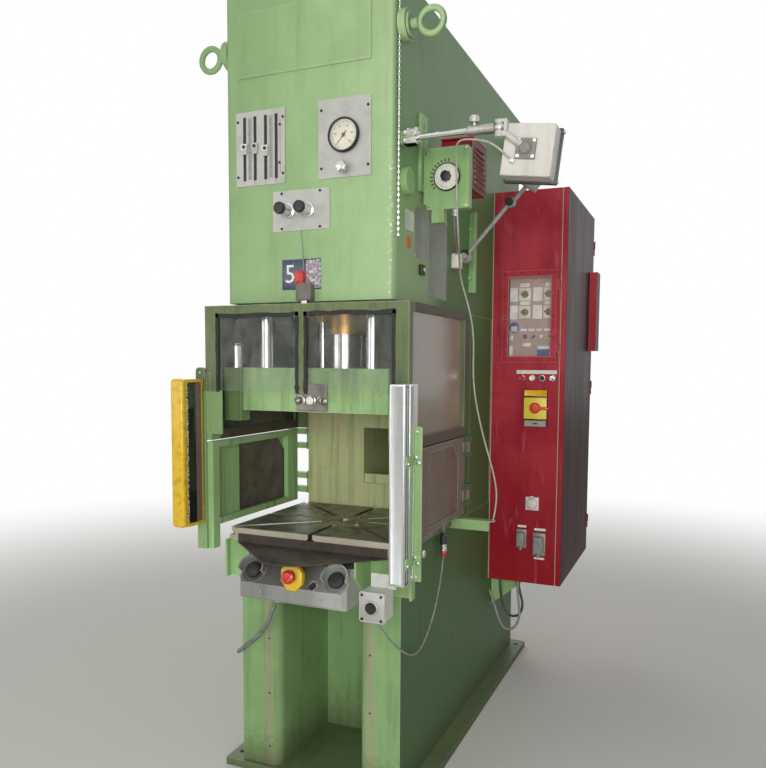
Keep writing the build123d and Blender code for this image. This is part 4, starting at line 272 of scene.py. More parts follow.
def enamel(name, clean, faded, soil, soiled=0.6, chips=0.8, rough=0.42, flank=None, high_flank=None,
           specks=0.35, gloss=0.3):
    """Sprayed machine enamel: soft fading, oily runs, orange peel, and edges chipped to steel."""
    material, tree, shader = new_material(name)
    shader.inputs["Specular IOR Level"].default_value = gloss
    place = place_of(tree)
    # fading in patches of about 300 mm
    patches = add(tree, "TexNoise", {"Vector": place, "Scale": 3.3, "Detail": 4.0, "Roughness": 0.6})
    paint = add(tree, "ValToRGB", {"Fac": patches}, stops=[(0.38, linear(faded)), (0.6, linear(clean))])
    if flank:
        # painted shade: a darker tone on the outer faces turned to the right, changing to the high_flank
        # tone between 1.6 m and 2.4 m
        facing = split(tree, facing_of(tree))
        side = ramp(tree, facing["X"], 0.3, 0.9)
        axes = split(tree, place)
        outer = calc(tree, "GREATER_THAN", axes["X"], 0.25)
        high = ramp(tree, axes["Z"], 1.6, 2.4)
        coat = mix(tree, high, flank, high_flank or flank)
        side = calc(tree, "MULTIPLY", side, outer)
        paint = mix(tree, side, paint, coat)
    # oily runs 40 mm wide and 700 mm long
    tall = add(tree, "Mapping", {"Vector": place, "Scale": (24.0, 24.0, 1.5)})
    runs = add(tree, "TexNoise", {"Vector": tall, "Scale": 1.0, "Detail": 6.0, "Roughness": 0.65})
    oily = ramp(tree, runs, 0.5, 0.76, soiled)
    paint = mix(tree, oily, paint, soil)
    # fine dirt specks of 6 mm, drawn coarser than the real dust
    dust = add(tree, "TexNoise", {"Vector": place, "Scale": 160.0, "Detail": 3.0, "Roughness": 0.7})
    dusty = ramp(tree, dust, 0.62, 0.7, specks)
    paint = mix(tree, dusty, paint, soil)
    # chips within 5 mm of an edge, 20 mm long
    rounded = add(tree, "Bevel", {"Radius": 0.005}, samples=4)
    turn = add(tree, "VectorMath", {0: rounded, 1: facing_of(tree)}, operation="DOT_PRODUCT")
    edge = ramp(tree, turn.outputs["Value"], 1.0, 0.75)
    nicks = add(tree, "TexNoise", {"Vector": place, "Scale": 48.0, "Detail": 5.0, "Roughness": 0.7})
    depth = calc(tree, "ADD", edge, nicks)
    chip = ramp(tree, depth, 0.98, 1.1, chips)
    paint = mix(tree, chip, paint, "#B9BCA9")
    feed(tree, "Base Color", paint)
    sheen = add(tree, "MapRange", {"Value": runs, "To Min": rough + 0.18, "To Max": rough - 0.12})
    feed(tree, "Roughness", sheen)
    # orange peel of 3 mm
    peel = add(tree, "TexNoise", {"Vector": place, "Scale": 330.0, "Detail": 1.0})
    height = calc(tree, "MULTIPLY", peel, 0.25)
    lower = calc(tree, "SUBTRACT", height, chip)
    bump = add(tree, "Bump", {"Height": lower, "Strength": 0.35, "Distance": 0.0006})
    feed(tree, "Normal", bump)
    return material


def paint_node(material, *nodes):
    """Give CAD nodes their material."""
    for node in nodes:
        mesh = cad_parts[node].data
        for index in range(max(1, len(mesh.materials))):
            if index < len(mesh.materials):
                mesh.materials[index] = material
            else:
                mesh.materials.append(material)


# the flank and high_flank tones below are painted shade on the faces turned to the right
green_enamel = enamel("green_machine_enamel", "#9EBD87", "#91B07A", "#55663F", soiled=0.25, flank="#44633A",
                      high_flank="#5F8453")
bracket_green = enamel("bright_bracket_enamel", "#97BC80", "#8CAF74", "#566A45", soiled=0.4)
oily_green = enamel("oily_green_enamel", "#97BB7D", "#89AC6E", "#3A4130", soiled=0.6, rough=0.34,
                    specks=0.95, gloss=0.5)
door_green = enamel("door_enamel", "#9DC187", "#94B87C", "#46543A", soiled=0.7, specks=0.8)
worn_green = enamel("worn_green_enamel", "#BECD90", "#C6BD92", "#4A5838", soiled=0.6, rough=0.5,
                    flank="#44633A", high_flank="#5F8453", specks=0.6)
paint_node(green_enamel, "head_box", "lifting_eyes")
paint_node(bracket_green, "side_fittings", "console_brackets")
paint_node(door_green, "door_left", "door_right")
paint_node(worn_green, "column_box")

# The head's front gets painted shade to the left and painted light to the right, its corner
# carries a painted highlight with white chips, and its right side is lighter low down in front.
tree, painted = coat_of(green_enamel)
place = place_of(tree)
axes = split(tree, place)
facing = split(tree, facing_of(tree))
front = ramp(tree, facing["Y"], -0.3, -0.9)
outer = ramp(tree, facing["X"], 0.3, 0.9)
corner = calc(tree, "SUBTRACT", axes["X"], 0.322)
corner = calc(tree, "ABSOLUTE", corner)
flakes = add(tree, "TexNoise", {"Vector": place, "Scale": 95.0, "Detail": 4.0, "Roughness": 0.7})
flaked = ramp(tree, flakes, 0.58, 0.64)
# tones: painted shade, painted light, the lighter low front of the right side, and the corner's painted
# highlight with chips
masks = (("#6E8C5B", front, (("X", 0.05, -0.33, 0.4),)), ("#C9DEB4", front, (("X", 0.10, 0.335, 0.22),)),
         ("#8FAD79", outer, (("Z", 2.38, 2.22, 0.9), ("Y", -0.42, -0.62, 1.0))),
         ("#F0F3E6", front, (("Z", 2.40, 2.30, 1.0), ("corner", 0.013, 0.007, 1.0),
                             ("flaked", 0.0, 1.0, 1.0))))
for tone, side, ramps in masks:
    share = side
    for source, start, end, most in ramps:
        value = {"corner": corner, "flaked": flaked}.get(source) or axes[source]
        share = calc(tree, "MULTIPLY", share, ramp(tree, value, start, end, most))
    painted = mix(tree, share, painted, tone)
feed(tree, "Base Color", painted)

# The fittings at the right door's hinges get the painted shade of the side, a darker tone.
tree, painted = coat_of(bracket_green)
# a box of 61 by 80 by 333 mm round the hinges, whose faces come to 1 in the mapped space
spot = add(tree, "Mapping", {"Vector": place_of(tree), "Location": (-13.992, 8.125, -6.96),
                             "Scale": (33.0, 25.0, 6.0)})
far = add(tree, "VectorMath", {0: spot}, operation="ABSOLUTE")
parts = split(tree, far)
most = calc(tree, "MAXIMUM", parts["X"], parts["Y"])
most = calc(tree, "MAXIMUM", most, parts["Z"])
near = calc(tree, "LESS_THAN", most, 1.0)
hinge_painted_shade = mix(tree, near, painted, "#3F5A38")
feed(tree, "Base Color", hinge_painted_shade)

# Behind the panes the throat plate is dark above 1.45 m, with old oil and with painted shade. On the right
# flank a worn weld seam shows pale, and a cream stripe of primer runs beside the cabinet.
tree, painted = coat_of(worn_green)
facing = split(tree, facing_of(tree))
# the left side and the back keep the green of the head
behind = calc(tree, "GREATER_THAN", facing["Y"], 0.5)
left = calc(tree, "LESS_THAN", facing["X"], -0.9)
either = calc(tree, "MAXIMUM", behind, left)
painted = mix(tree, either, painted, "#94B37D")
axes = split(tree, place_of(tree))
# painted shade, with old oil, on the front faces above 1.45 m
high = ramp(tree, axes["Z"], 1.40, 1.50, 0.8)
front = ramp(tree, facing["Y"], -0.3, -0.9)
both = calc(tree, "MULTIPLY", high, front)
paint = mix(tree, both, painted, "#2F332A")
right = calc(tree, "GREATER_THAN", facing["X"], 0.9)
for y, half, tone in ((-0.042, 0.006, "#8B9478"), (0.300, 0.012, "#A9A385")):
    lean = calc(tree, "SUBTRACT", axes["Y"], y)
    off = calc(tree, "ABSOLUTE", lean)
    line = ramp(tree, off, half, half * 0.6, 0.75)
    line = calc(tree, "MULTIPLY", line, right)
    paint = mix(tree, line, paint, tone)
feed(tree, "Base Color", paint)

# The base gets the most wear: bare tan strips where its cover was screwed beside the
# recess, and a ragged burnt spot low on its left side. It is darker up to 150 mm from the floor, with a
# ragged edge.
# its flank tone is painted shade on the faces turned to the right
base_green = enamel("worn_base_enamel", "#86A771", "#7A9A64", "#4B563A", flank="#44633A")
tree, painted = coat_of(base_green)
place = place_of(tree)
axes = split(tree, place)
ragged = add(tree, "TexNoise", {"Vector": place, "Scale": 38.0, "Detail": 6.0, "Roughness": 0.7})
# the strips lie 214 mm either side of the middle, on the front face only
aside = calc(tree, "ABSOLUTE", axes["X"])
off = calc(tree, "SUBTRACT", aside, 0.214)
off = calc(tree, "ABSOLUTE", off)
rough_off = calc(tree, "MULTIPLY_ADD", ragged, -0.07, 0.045)
reach = calc(tree, "ADD", off, rough_off)
strip = ramp(tree, reach, 0.034, 0.026)
front = ramp(tree, axes["Y"], -0.842, -0.8445)
below = ramp(tree, axes["Z"], 0.765, 0.74)
bare = calc(tree, "MULTIPLY", strip, front)
bare = calc(tree, "MULTIPLY", bare, below)
bare = calc(tree, "MULTIPLY", bare, 0.5)
tan = mix(tree, bare, painted, "#A0957A")
# darker towards the floor, with a ragged edge
rise = calc(tree, "MULTIPLY_ADD", ragged, -0.3, 0.32)
floor_darkening = ramp(tree, axes["Z"], rise, 0.0, 0.75)
soiled = mix(tree, floor_darkening, tan, "#4C4A36")
# burnt spot about 45 mm across; its centre lies on the outer left face, at x = -340 mm
centre = add(tree, "Mapping", {"Vector": place, "Location": (0.170, 0.671, -0.238),
                               "Scale": (0.5, 1.0, 1.0)})
away = add(tree, "VectorMath", {0: centre}, operation="LENGTH")
edge = calc(tree, "MULTIPLY_ADD", ragged, 0.03, away.outputs["Value"])
hole = ramp(tree, edge, 0.041, 0.036)
dark = mix(tree, hole, soiled, "#14120F")
feed(tree, "Base Color", dark)
paint_node(base_green, "base_frame")


# Ram, guide rods and slide: hard-chromed rods run in bronze bushes in the head's
# floor, and carry a heavy steel slide painted green. A dark clamp plate with three
# chromed bolts holds the tool's shank in its front.
def machined(name, tone, stain, rough, lines=(1.0, 1.0, 1.0), stained=0.6, metallic=1.0):
    """Machined or ground metal: fine lines across the surface and a film of old oil."""
    material, tree, shader = new_material(name)
    shader.inputs["Metallic"].default_value = metallic
    place = place_of(tree)
    # tool marks of about 2 mm, stretched along the cut
    cut = add(tree, "Mapping", {"Vector": place, "Scale": lines})
    marks = add(tree, "TexNoise", {"Vector": cut, "Scale": 420.0, "Detail": 2.0})
    # oil film in 60 mm patches
    film = add(tree, "TexNoise", {"Vector": place, "Scale": 17.0, "Detail": 5.0, "Roughness": 0.65})
    oily = ramp(tree, film, 0.45, 0.7, stained)
    colour = mix(tree, oily, tone, stain)
    feed(tree, "Base Color", colour)
    spread = add(tree, "MapRange", {"Value": marks, "To Min": rough - 0.08, "To Max": rough + 0.1})
    dulled = calc(tree, "MULTIPLY_ADD", oily, 0.12, spread)
    feed(tree, "Roughness", dulled)
    bump = add(tree, "Bump", {"Height": marks, "Strength": 0.25, "Distance": 0.0002})
    feed(tree, "Normal", bump)
    return material


hard_chrome = machined("hard_chrome_rod", "#D9DAD8", "#A9A497", 0.16, lines=(1.0, 1.0, 0.1), stained=0.3)
bronze = machined("turned_bronze", "#B08A55", "#6B4E2C", 0.36)
black_steel = machined("blackened_steel", "#3A3935", "#25221D", 0.45, metallic=0.7)
zinc_steel = machined("zinc_plated_steel", "#C4C3BC", "#8E8A7C", 0.32)
# the slide's left ear is darker, out of the light and black with oil
tree, painted = coat_of(oily_green)
axes = split(tree, place_of(tree))
ear = ramp(tree, axes["X"], -0.300, -0.304, 0.65)
darker = mix(tree, ear, painted, "#3C4D2C")
feed(tree, "Base Color", darker)
paint_node(oily_green, "slide_plate")
paint_node(hard_chrome, "ram_rod", "guide_rods")
paint_node(bronze, "guide_bushes")
paint_node(black_steel, "shank_clamp")
paint_node(zinc_steel, "cylinder_barrel")


FRONT, RIGHT, DOWN = (90, 0, 0), (0, 90, 0), (180, 0, 0)  # turns that point a piece's Z axis there


def slab(name, x, y, z):
    """Start of a piece: a box between millimetre limits, its place in its mesh."""
    bpy.ops.object.select_all(action="DESELECT")
    bpy.ops.mesh.primitive_cube_add(size=1, location=[(a + b) / 2000 for a, b in (x, y, z)],
                                    scale=[(b - a) / 1000 for a, b in (x, y, z)])
    piece = bpy.context.object
    piece.name = piece.data.name = name
    bpy.ops.object.transform_apply(location=True, rotation=True, scale=True)
    return piece


def pick(piece, test):
    """Open the piece for editing with the faces whose centre (mm) and normal pass the test selected."""
    bpy.ops.object.select_all(action="DESELECT")
    piece.select_set(True)
    bpy.context.view_layer.objects.active = piece
    bpy.ops.object.mode_set(mode="EDIT")
    bpy.ops.mesh.select_mode(type="FACE")
    bpy.ops.mesh.select_all(action="DESELECT")
    shape = bmesh.from_edit_mesh(piece.data)
    for face in shape.faces:
        if test(face.calc_center_median() * 1000, face.normal):
            face.select_set(True)
    shape.select_flush_mode()
    bmesh.update_edit_mesh(piece.data)


def close():
    """Leave the editing that pick opened."""
    bpy.ops.object.mode_set(mode="OBJECT")


def sink(piece, test, border, depth):
    """Inset the picked faces by a border and press them in by a depth (out if negative)."""
    pick(piece, test)
    bpy.ops.mesh.inset(thickness=border / 1000, depth=0.0, use_even_offset=True)
    if depth:
        bpy.ops.mesh.inset(thickness=0.0001, depth=-depth / 1000)
    close()


def press(piece, test, *steps):
    """Inset the picked faces once per step, each a border and a height in mm."""
    pick(piece, test)
    for border, height in steps:
        bpy.ops.mesh.inset(thickness=border / 1000, depth=height / 1000)
    close()


def squeeze(piece, test, factors, centre=(0, 0, 0)):
    """Resize the picked faces about a centre in metres."""
    pick(piece, test)
    bpy.ops.transform.resize(value=factors, center_override=centre)
    close()


# tests for pick, by the side that a face looks to
def front_face(centre, normal):
    return normal.y < -0.5


def rear_face(centre, normal):
    return normal.y > 0.5


def right_face(centre, normal):
    return normal.x > 0.5


def top_face(centre, normal):
    return normal.z > 0.5


def every_face(centre, normal):
    return True


def soften(piece, width, segments=2, angle=35):
    """Round the piece's sharp edges and shade it smooth between them."""
    bpy.ops.object.select_all(action="DESELECT")
    piece.select_set(True)
    bpy.context.view_layer.objects.active = piece
    if width:
        bevel = piece.modifiers.new("edges", "BEVEL")
        bevel.width = width / 1000
        bevel.segments = segments
        bevel.limit_method = "ANGLE"
        bevel.angle_limit = math.radians(angle)
        bpy.ops.object.modifier_apply(modifier="edges")
    bpy.ops.object.shade_smooth_by_angle(angle=math.radians(angle))
    return piece


def lathe(name, rings, sides=32):
    """Turned piece about Z from (radius, height) steps in mm: a disc extruded and resized step by step."""
    bpy.ops.object.select_all(action="DESELECT")
    radius, height = rings[0]
    bpy.ops.mesh.primitive_circle_add(vertices=sides, radius=radius / 1000, fill_type="NGON",
                                      location=(0, 0, height / 1000))
    piece = bpy.context.object
    piece.name = piece.data.name = name
    bpy.ops.object.transform_apply(location=True, rotation=True, scale=True)
    bpy.ops.object.mode_set(mode="EDIT")
    bpy.ops.mesh.select_all(action="SELECT")
    for step, rise in rings[1:]:
        bpy.ops.mesh.extrude_region_move(TRANSFORM_OT_translate={"value": (0, 0, (rise - height) / 1000)})
        factor = step / radius
        if factor != 1:
            bpy.ops.transform.resize(value=(factor, factor, 1), center_override=(0, 0, rise / 1000))
        radius, height = step, rise
    bpy.ops.mesh.select_all(action="SELECT")
    bpy.ops.mesh.normals_make_consistent(inside=False)
    close()
    bpy.ops.object.shade_smooth_by_angle(angle=math.radians(35))
    return piece


def place_at(piece, x, y, z, turn=(0, 0, 0)):
    """Move a piece made at the origin to its place in mm, turned in degrees, into its mesh."""
    bpy.ops.object.select_all(action="DESELECT")
    piece.select_set(True)
    bpy.context.view_layer.objects.active = piece
    piece.rotation_euler = [math.radians(a) for a in turn]
    piece.location = (x / 1000, y / 1000, z / 1000)
    bpy.ops.object.transform_apply(location=True, rotation=True, scale=True)
    return piece


def turned(name, rings, sides, place, turn=(0, 0, 0)):
    """Turned piece set in its place in mm."""
    return place_at(lathe(name, rings, sides), *place, turn)


def plate_of(name, x, y, z, test, border, depth, edge=0):
    """Box between millimetre limits with the picked faces sunk inside a border, its edges rounded."""
    piece = slab(name, x, y, z)
    sink(piece, test, border, depth)
    return soften(piece, edge) if edge else piece


def copy_of(piece, name, dx=0, dy=0, dz=0):
    """Copy of a piece with its own mesh, shifted in mm."""
    twin = piece.copy()
    twin.data = piece.data.copy()
    twin.name = twin.data.name = name
    twin.data.transform(Matrix.Translation((dx / 1000, dy / 1000, dz / 1000)))
    scene.collection.objects.link(twin)
    return twin


def join(name, pieces):
    """One piece out of several."""
    bpy.ops.object.select_all(action="DESELECT")
    for piece in pieces:
        piece.select_set(True)
    bpy.context.view_layer.objects.active = pieces[0]
    bpy.ops.object.join()
    pieces[0].name = pieces[0].data.name = name
    return pieces[0]


def fit(piece, material, body="press_frame", stands_for=()):
    """Finish a piece and fix it to its body."""
    piece.data.materials.clear()
    piece.data.materials.append(material)
    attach(piece, body)
    if stands_for:
        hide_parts(*stands_for)
    return piece


def socket_screw(name, head=8):
    """Socket head screw standing along Z, its hexagon pressed into the head."""
    screw = lathe(name, [(head * 0.94, 0), (head, 0.5), (head, head * 0.9), (head * 0.9, head)], sides=24)
    sink(screw, lambda c, n: n.z > 0.9 and c.z > head * 0.95, head * 0.35, 0)
    press(screw, lambda c, n: n.z > 0.9 and c.z > head * 0.95 and c.xy.length < head * 0.2,
          (0.1, -head * 0.5))
    return screw


# The clamp plate of the tool's shank: ground steel, held by three socket screws with
# thick washers.
ground_steel = machined("ground_clamp_steel", "#8F8A82", "#5F5A50", 0.4, metallic=0.8)
clamp = plate_of("clamp_plate", (-62, 62), (-893.5, -883), (1434.5, 1533.5), front_face, 4, 0, 3)
fit(clamp, ground_steel, "slide", stands_for=["shank_clamp"])
bolts = []
for x in (-44, 0, 44):
    washer = turned("clamp_washer", [(19, 0), (19.5, 0.6), (19.5, 3.4), (18.6, 4)], 32, (x, -893.5, 1473),
                    FRONT)
    screw = socket_screw("clamp_screw", 15)
    place_at(screw, x, -897.5, 1473, (90, 0, 15 + x))
    bolts += [washer, screw]
fit(join("clamp_screws", bolts), zinc_steel, "slide")


# Table: ground steel plate on the base, with eight T-slots to its middle. Oil has
# turned its face dark, use has rubbed its front edge bright, and the wall of its left slot gets a painted
# highlight.
table_steel = machined("oiled_table_steel", "#8F8C82", "#4C4738", 0.42, lines=(0.15, 1.0, 1.0), stained=0.9,
                       metallic=0.85)
dark_sheet = machined("oiled_black_sheet", "#4C443D", "#322B25", 0.38, stained=0.8, metallic=0.4)
# its front edge is rubbed bright by the work; the wall of the left diagonal slot gets a painted highlight
tree, oiled = coat_of(table_steel)
facing = split(tree, facing_of(tree))
front = ramp(tree, facing["Y"], -0.3, -0.9, 0.8)
bright = mix(tree, front, oiled, "#C9C2AB")
slanting = add(tree, "VectorMath", {0: facing_of(tree), 1: (0.7071, -0.7071, 0.0)}, operation="DOT_PRODUCT")
slanting = calc(tree, "GREATER_THAN", slanting.outputs["Value"], 0.98)
axes = split(tree, place_of(tree))
inner = ramp(tree, axes["X"], -0.30, -0.26)
slot_highlight = calc(tree, "MULTIPLY", slanting, inner)
slot_highlight = mix(tree, slot_highlight, bright, "#FFFDF4")
feed(tree, "Base Color", slot_highlight)
paint_node(table_steel, "table_plate")
paint_node(dark_sheet, "table_apron")


# Guard round the die space: welded bars with duller green paint, acrylic panes in
# rubber strips, and a carrier for the light curtain on each side.
guard_green = enamel("dull_guard_enamel", "#64724E", "#727D58", "#353A2A", soiled=0.8, rough=0.5,
                     specks=0.6, gloss=0.25)
paint_node(guard_green, "guard_frame")


def pane_plastic(name, tone, alpha, edge_alpha, rough, side_shade_tone=None):
    """Acrylic sheet: see-through, smeared by hands, and more mirror-like at a shallow angle."""
    material, tree, shader = new_material(name)
    shader.inputs["IOR"].default_value = 1.49
    shader.inputs["Base Color"].default_value = linear(tone)
    place = place_of(tree)
    # smears 80 mm across
    smear = add(tree, "TexNoise", {"Vector": place, "Scale": 12.0, "Detail": 5.0, "Roughness": 0.6,
                                   "Distortion": 0.8})
    cloud = add(tree, "MapRange", {"Value": smear, "From Min": 0.4, "From Max": 0.75, "To Min": alpha,
                                   "To Max": alpha + 0.16})
    slant = add(tree, "LayerWeight", {"Blend": 0.3})
    seen = add(tree, "MapRange", {"Value": slant.outputs["Facing"], "From Min": 0.3, "From Max": 1.0,
                                  "To Min": 0.0, "To Max": edge_alpha})
    total = add(tree, "Math", {0: cloud, 1: seen}, operation="ADD", use_clamp=True)
    if side_shade_tone:
        # the panes at the sides, beyond x = 392 mm, are tinted brown and nearly opaque as painted shade of
        # the dark space behind them; the left one is nearly black
        axes = split(tree, place)
        out = calc(tree, "ABSOLUTE", axes["X"])
        side = calc(tree, "GREATER_THAN", out, 0.392)
        left = calc(tree, "LESS_THAN", axes["X"], 0.0)
        brown = mix(tree, left, side_shade_tone, "#3A3833")
        tint = mix(tree, side, tone, brown)
        feed(tree, "Base Color", tint)
        total = add(tree, "Math", {0: side, 1: 0.82, 2: total}, operation="MULTIPLY_ADD", use_clamp=True)
    feed(tree, "Alpha", total)
    hazy = add(tree, "MapRange", {"Value": smear, "To Min": rough, "To Max": rough + 0.2})
    feed(tree, "Roughness", hazy)
    return material


clear_acrylic = pane_plastic("clear_acrylic_pane", "#8E938A", 0.08, 0.25, 0.06, side_shade_tone="#8A7F6E")
smoked_acrylic = pane_plastic("smoked_acrylic_pane", "#453631", 0.86, 0.1, 0.12)
paint_node(clear_acrylic, "guard_panes")
# the right door's pane gets a lighter copy of the smoked acrylic, painted with its reflection
reflecting_smoked_acrylic = pane_plastic("reflecting_smoked_acrylic_pane", "#6E5E50", 0.86, 0.1, 0.12)
paint_node(smoked_acrylic, "pane_left")
paint_node(reflecting_smoked_acrylic, "pane_right")


def moulded(name, tone, worn, rough, grain=900.0, spread=0.5, coat=0.0, scuff=42.0):
    """Moulded plastic or rubber: even colour, light scuffs and a fine grain."""
    material, tree, shader = new_material(name)
    shader.inputs["IOR"].default_value = 1.5
    shader.inputs["Coat Weight"].default_value = coat
    place = place_of(tree)
    # scuffs about 25 mm across
    scuffs = add(tree, "TexNoise", {"Vector": place, "Scale": scuff, "Detail": 5.0, "Roughness": 0.65})
    colour = add(tree, "ValToRGB", {"Fac": scuffs},
                 stops=[(0.5, linear(tone)), (0.5 + spread / 2, linear(worn))])
    feed(tree, "Base Color", colour)
    dull = add(tree, "MapRange", {"Value": scuffs, "To Min": rough - 0.08, "To Max": rough + 0.1})
    feed(tree, "Roughness", dull)
    # grain about 1 mm apart
    leather = add(tree, "TexNoise", {"Vector": place, "Scale": grain, "Detail": 1.0})
    bump = add(tree, "Bump", {"Height": leather, "Strength": 0.2, "Distance": 0.0002})
    feed(tree, "Normal", bump)
    return material


black_rubber = moulded("black_rubber_strip", "#1C1B19", "#3A3833", 0.7)
black_plastic = moulded("black_moulded_plastic", "#1A1A1A", "#343433", 0.38)
white_plastic = moulded("white_moulded_plastic", "#E2E0D6", "#C9C4B2", 0.4)
signal_yellow = moulded("yellow_safety_enamel", "#DDB51E", "#B08A1C", 0.36, grain=300.0, coat=0.2)
signal_red = moulded("red_moulded_plastic", "#C22A1E", "#9A2319", 0.3, coat=0.2)
grey_case = moulded("light_grey_case", "#C6C7C0", "#A7A79C", 0.42)
paint_node(black_rubber, "guard_gaskets")
paint_node(signal_red, "interlock_switch")

# Light curtains: on the left a yellow housing, on the right a bare aluminium one.
satin_aluminium = machined("anodised_aluminium", "#CDCFCF", "#A3A39C", 0.34, lines=(1.0, 1.0, 0.06),
                           stained=0.25)
paint_node(signal_yellow, "light_curtain_left")
paint_node(satin_aluminium, "light_curtain_right")

# Two-hand console: a light grey painted casting on two green brackets.
cast_grey = enamel("grey_hammer_enamel", "#A9ACA6", "#9B9E98", "#5E5C54", soiled=0.5, chips=0.5, rough=0.34)
paint_node(cast_grey, "console_body")
# the console's sloping face is greasy and dark, and the casting is darker towards the left
tree, painted = coat_of(cast_grey)
facing = split(tree, facing_of(tree))
sloping = ramp(tree, facing["Z"], 0.3, 0.5, 0.5)
axes = split(tree, place_of(tree))
left = ramp(tree, axes["X"], 0.16, 0.06, 0.42)
darkened = calc(tree, "ADD", sloping, left)
darkened = mix(tree, darkened, painted, "#4C4846")
# its edges are rubbed bright by hands and carry a painted highlight
rounded = add(tree, "Bevel", {"Radius": 0.003}, samples=4)
turn = add(tree, "VectorMath", {0: rounded, 1: facing_of(tree)}, operation="DOT_PRODUCT")
edge = ramp(tree, turn.outputs["Value"], 0.98, 0.86, 0.7)
brightened = mix(tree, edge, darkened, "#E4E4DE")
feed(tree, "Base Color", brightened)
paint_node(signal_yellow, "estop_block")
paint_node(signal_red, "estop_mushroom")
paint_node(black_plastic, "palm_button_left", "palm_button_right", "console_button", "box_button")
paint_node(grey_case, "button_box")

# Front of the head: satin plates with the slide's scale, the gauge and two valves.
satin_plate = machined("satin_steel_plate", "#B4B4AE", "#94928A", 0.5, lines=(0.1, 1.0, 1.0), stained=0.35,
                       metallic=0.5)
paint_node(satin_plate, "front_plates")
paint_node(black_plastic, "pressure_gauge", "gauge_needle", "dial_knob")
paint_node(zinc_steel, "gauge_valve", "arm_pipe")
paint_node(hard_chrome, "valve_knob_left", "valve_knob_right")

# Right flank: terminal on its arm, dial box, louvred box and machine lamp.
lamp_grey = moulded("grey_lamp_enamel", "#9C9E9A", "#7C7B74", 0.42)
paint_node(grey_case, "terminal")
paint_node(bracket_green, "dial_box")
paint_node(lamp_grey, "lamp_lower_arm", "lamp_upper_arm")

# Switch cabinet: folded sheet sprayed dark red, with a gasketed door on its right.
# the flank tones below are painted shade on the faces turned to the right
cabinet_red = enamel("dark_red_cabinet_enamel", "#BA424E", "#A62F3C", "#5A141C", soiled=0.4, chips=0.5,
                     rough=0.36, flank="#2A1314", gloss=0.06)
maroon = enamel("maroon_box_enamel", "#9A2731", "#8A202A", "#3A1014", soiled=0.4, rough=0.4,
                flank="#54191F", gloss=0.2)
# the front is a deeper red from 1.6 m downwards
tree, painted = coat_of(cabinet_red)
axes = split(tree, place_of(tree))
low = ramp(tree, axes["Z"], 1.6, 0.7, 0.75)
facing = split(tree, facing_of(tree))
front = ramp(tree, facing["Y"], -0.3, -0.9)
both = calc(tree, "MULTIPLY", low, front)
deep = mix(tree, both, painted, "#8E1420")
# pale streaks on the front, 30 mm wide and 250 mm long
long = add(tree, "Mapping", {"Vector": place_of(tree), "Scale": (30.0, 30.0, 4.0)})
rub = add(tree, "TexNoise", {"Vector": long, "Scale": 1.0, "Detail": 4.0, "Distortion": 0.6})
brightened = ramp(tree, rub, 0.62, 0.72, 0.3)
brightened = calc(tree, "MULTIPLY", brightened, front)
pale_red = mix(tree, brightened, deep, "#C98086")
feed(tree, "Base Color", pale_red)
paint_node(cabinet_red, "cabinet_body", "cabinet_door", "window_door")
paint_node(maroon, "louvre_box")
window_acrylic = pane_plastic("window_acrylic", "#C9B4B0", 0.05, 0.25, 0.05)
paint_node(window_acrylic, "window_pane")
paint_node(black_plastic, "cabinet_fittings")
paint_node(signal_red, "main_switch_handle", "push_button_red")
paint_node(white_plastic, "push_button_white")
paint_node(black_plastic, "push_button_black")
paint_node(zinc_steel, "cable_plug")
motor_blue = moulded("blue_motor_enamel", "#2F4F7D", "#243A5C", 0.4)
paint_node(motor_blue, "power_pack")


# Scale plate on the head: satin steel plate with four slots and rows of tick marks,
# and three sliders with dark clamping knobs that set the slide's switching points.
# The plates are held by small cheese-head screws.
ink = moulded("black_engraving_ink", "#23221F", "#3A3934", 0.6)
strip_grey = moulded("grey_scale_print", "#9C9C96", "#8A8A82", 0.5)
backing = plate_of("scale_backing", (-264, -108), (-925.8, -925.2), (2262, 2490), front_face, 1, 0.1)
fit(backing, ink)
marks = []
for x in (-230, -142):
    strip = plate_of(f"scale_strip_{x}", (x - 8, x + 8), (-929.3, -928.9), (2268, 2486), front_face, 1.5,
                     0.1)
    fit(strip, strip_grey)
    for row in range(28):
        half = 5 if row % 4 == 0 else 2.6
        marks.append(slab("tick", (x - half, x + half), (-929.7, -929.2),
                          (2274 + row * 7.5, 2275.2 + row * 7.5)))
fit(join("scale_ticks", marks), ink)
red_ink = moulded("red_engraving_ink", "#A8322A", "#8A2A24", 0.6)
red_line = plate_of("scale_red_line", (-104.5, -103.2), (-929.5, -928.9), (2285, 2470), front_face, 0.3,
                    0.1)
fit(red_line, red_ink)

screw = lathe("plate_screw", [(4.2, 0), (4.6, 0.4), (4.6, 2.2), (3.9, 2.8)], sides=20)
press(screw, lambda c, n: n.z > 0.9 and c.z > 2.7, (1.8, 0), (0.1, -0.8))
place_at(screw, 0, 0, 0, FRONT)
screws = []
for x, z in ((-280, 2475), (-92, 2475), (-280, 2280), (-92, 2280), (-104, 2450), (-106, 2318), (62, 2476),
             (240, 2476), (62, 2280), (240, 2280), (-98, 2208), (56, 2208), (-98, 2085), (56, 2085)):
    screws.append(copy_of(screw, "plate_screw_copy", x, -929, z))
bpy.data.objects.remove(screw)
fit(join("plate_screws", screws), black_steel)

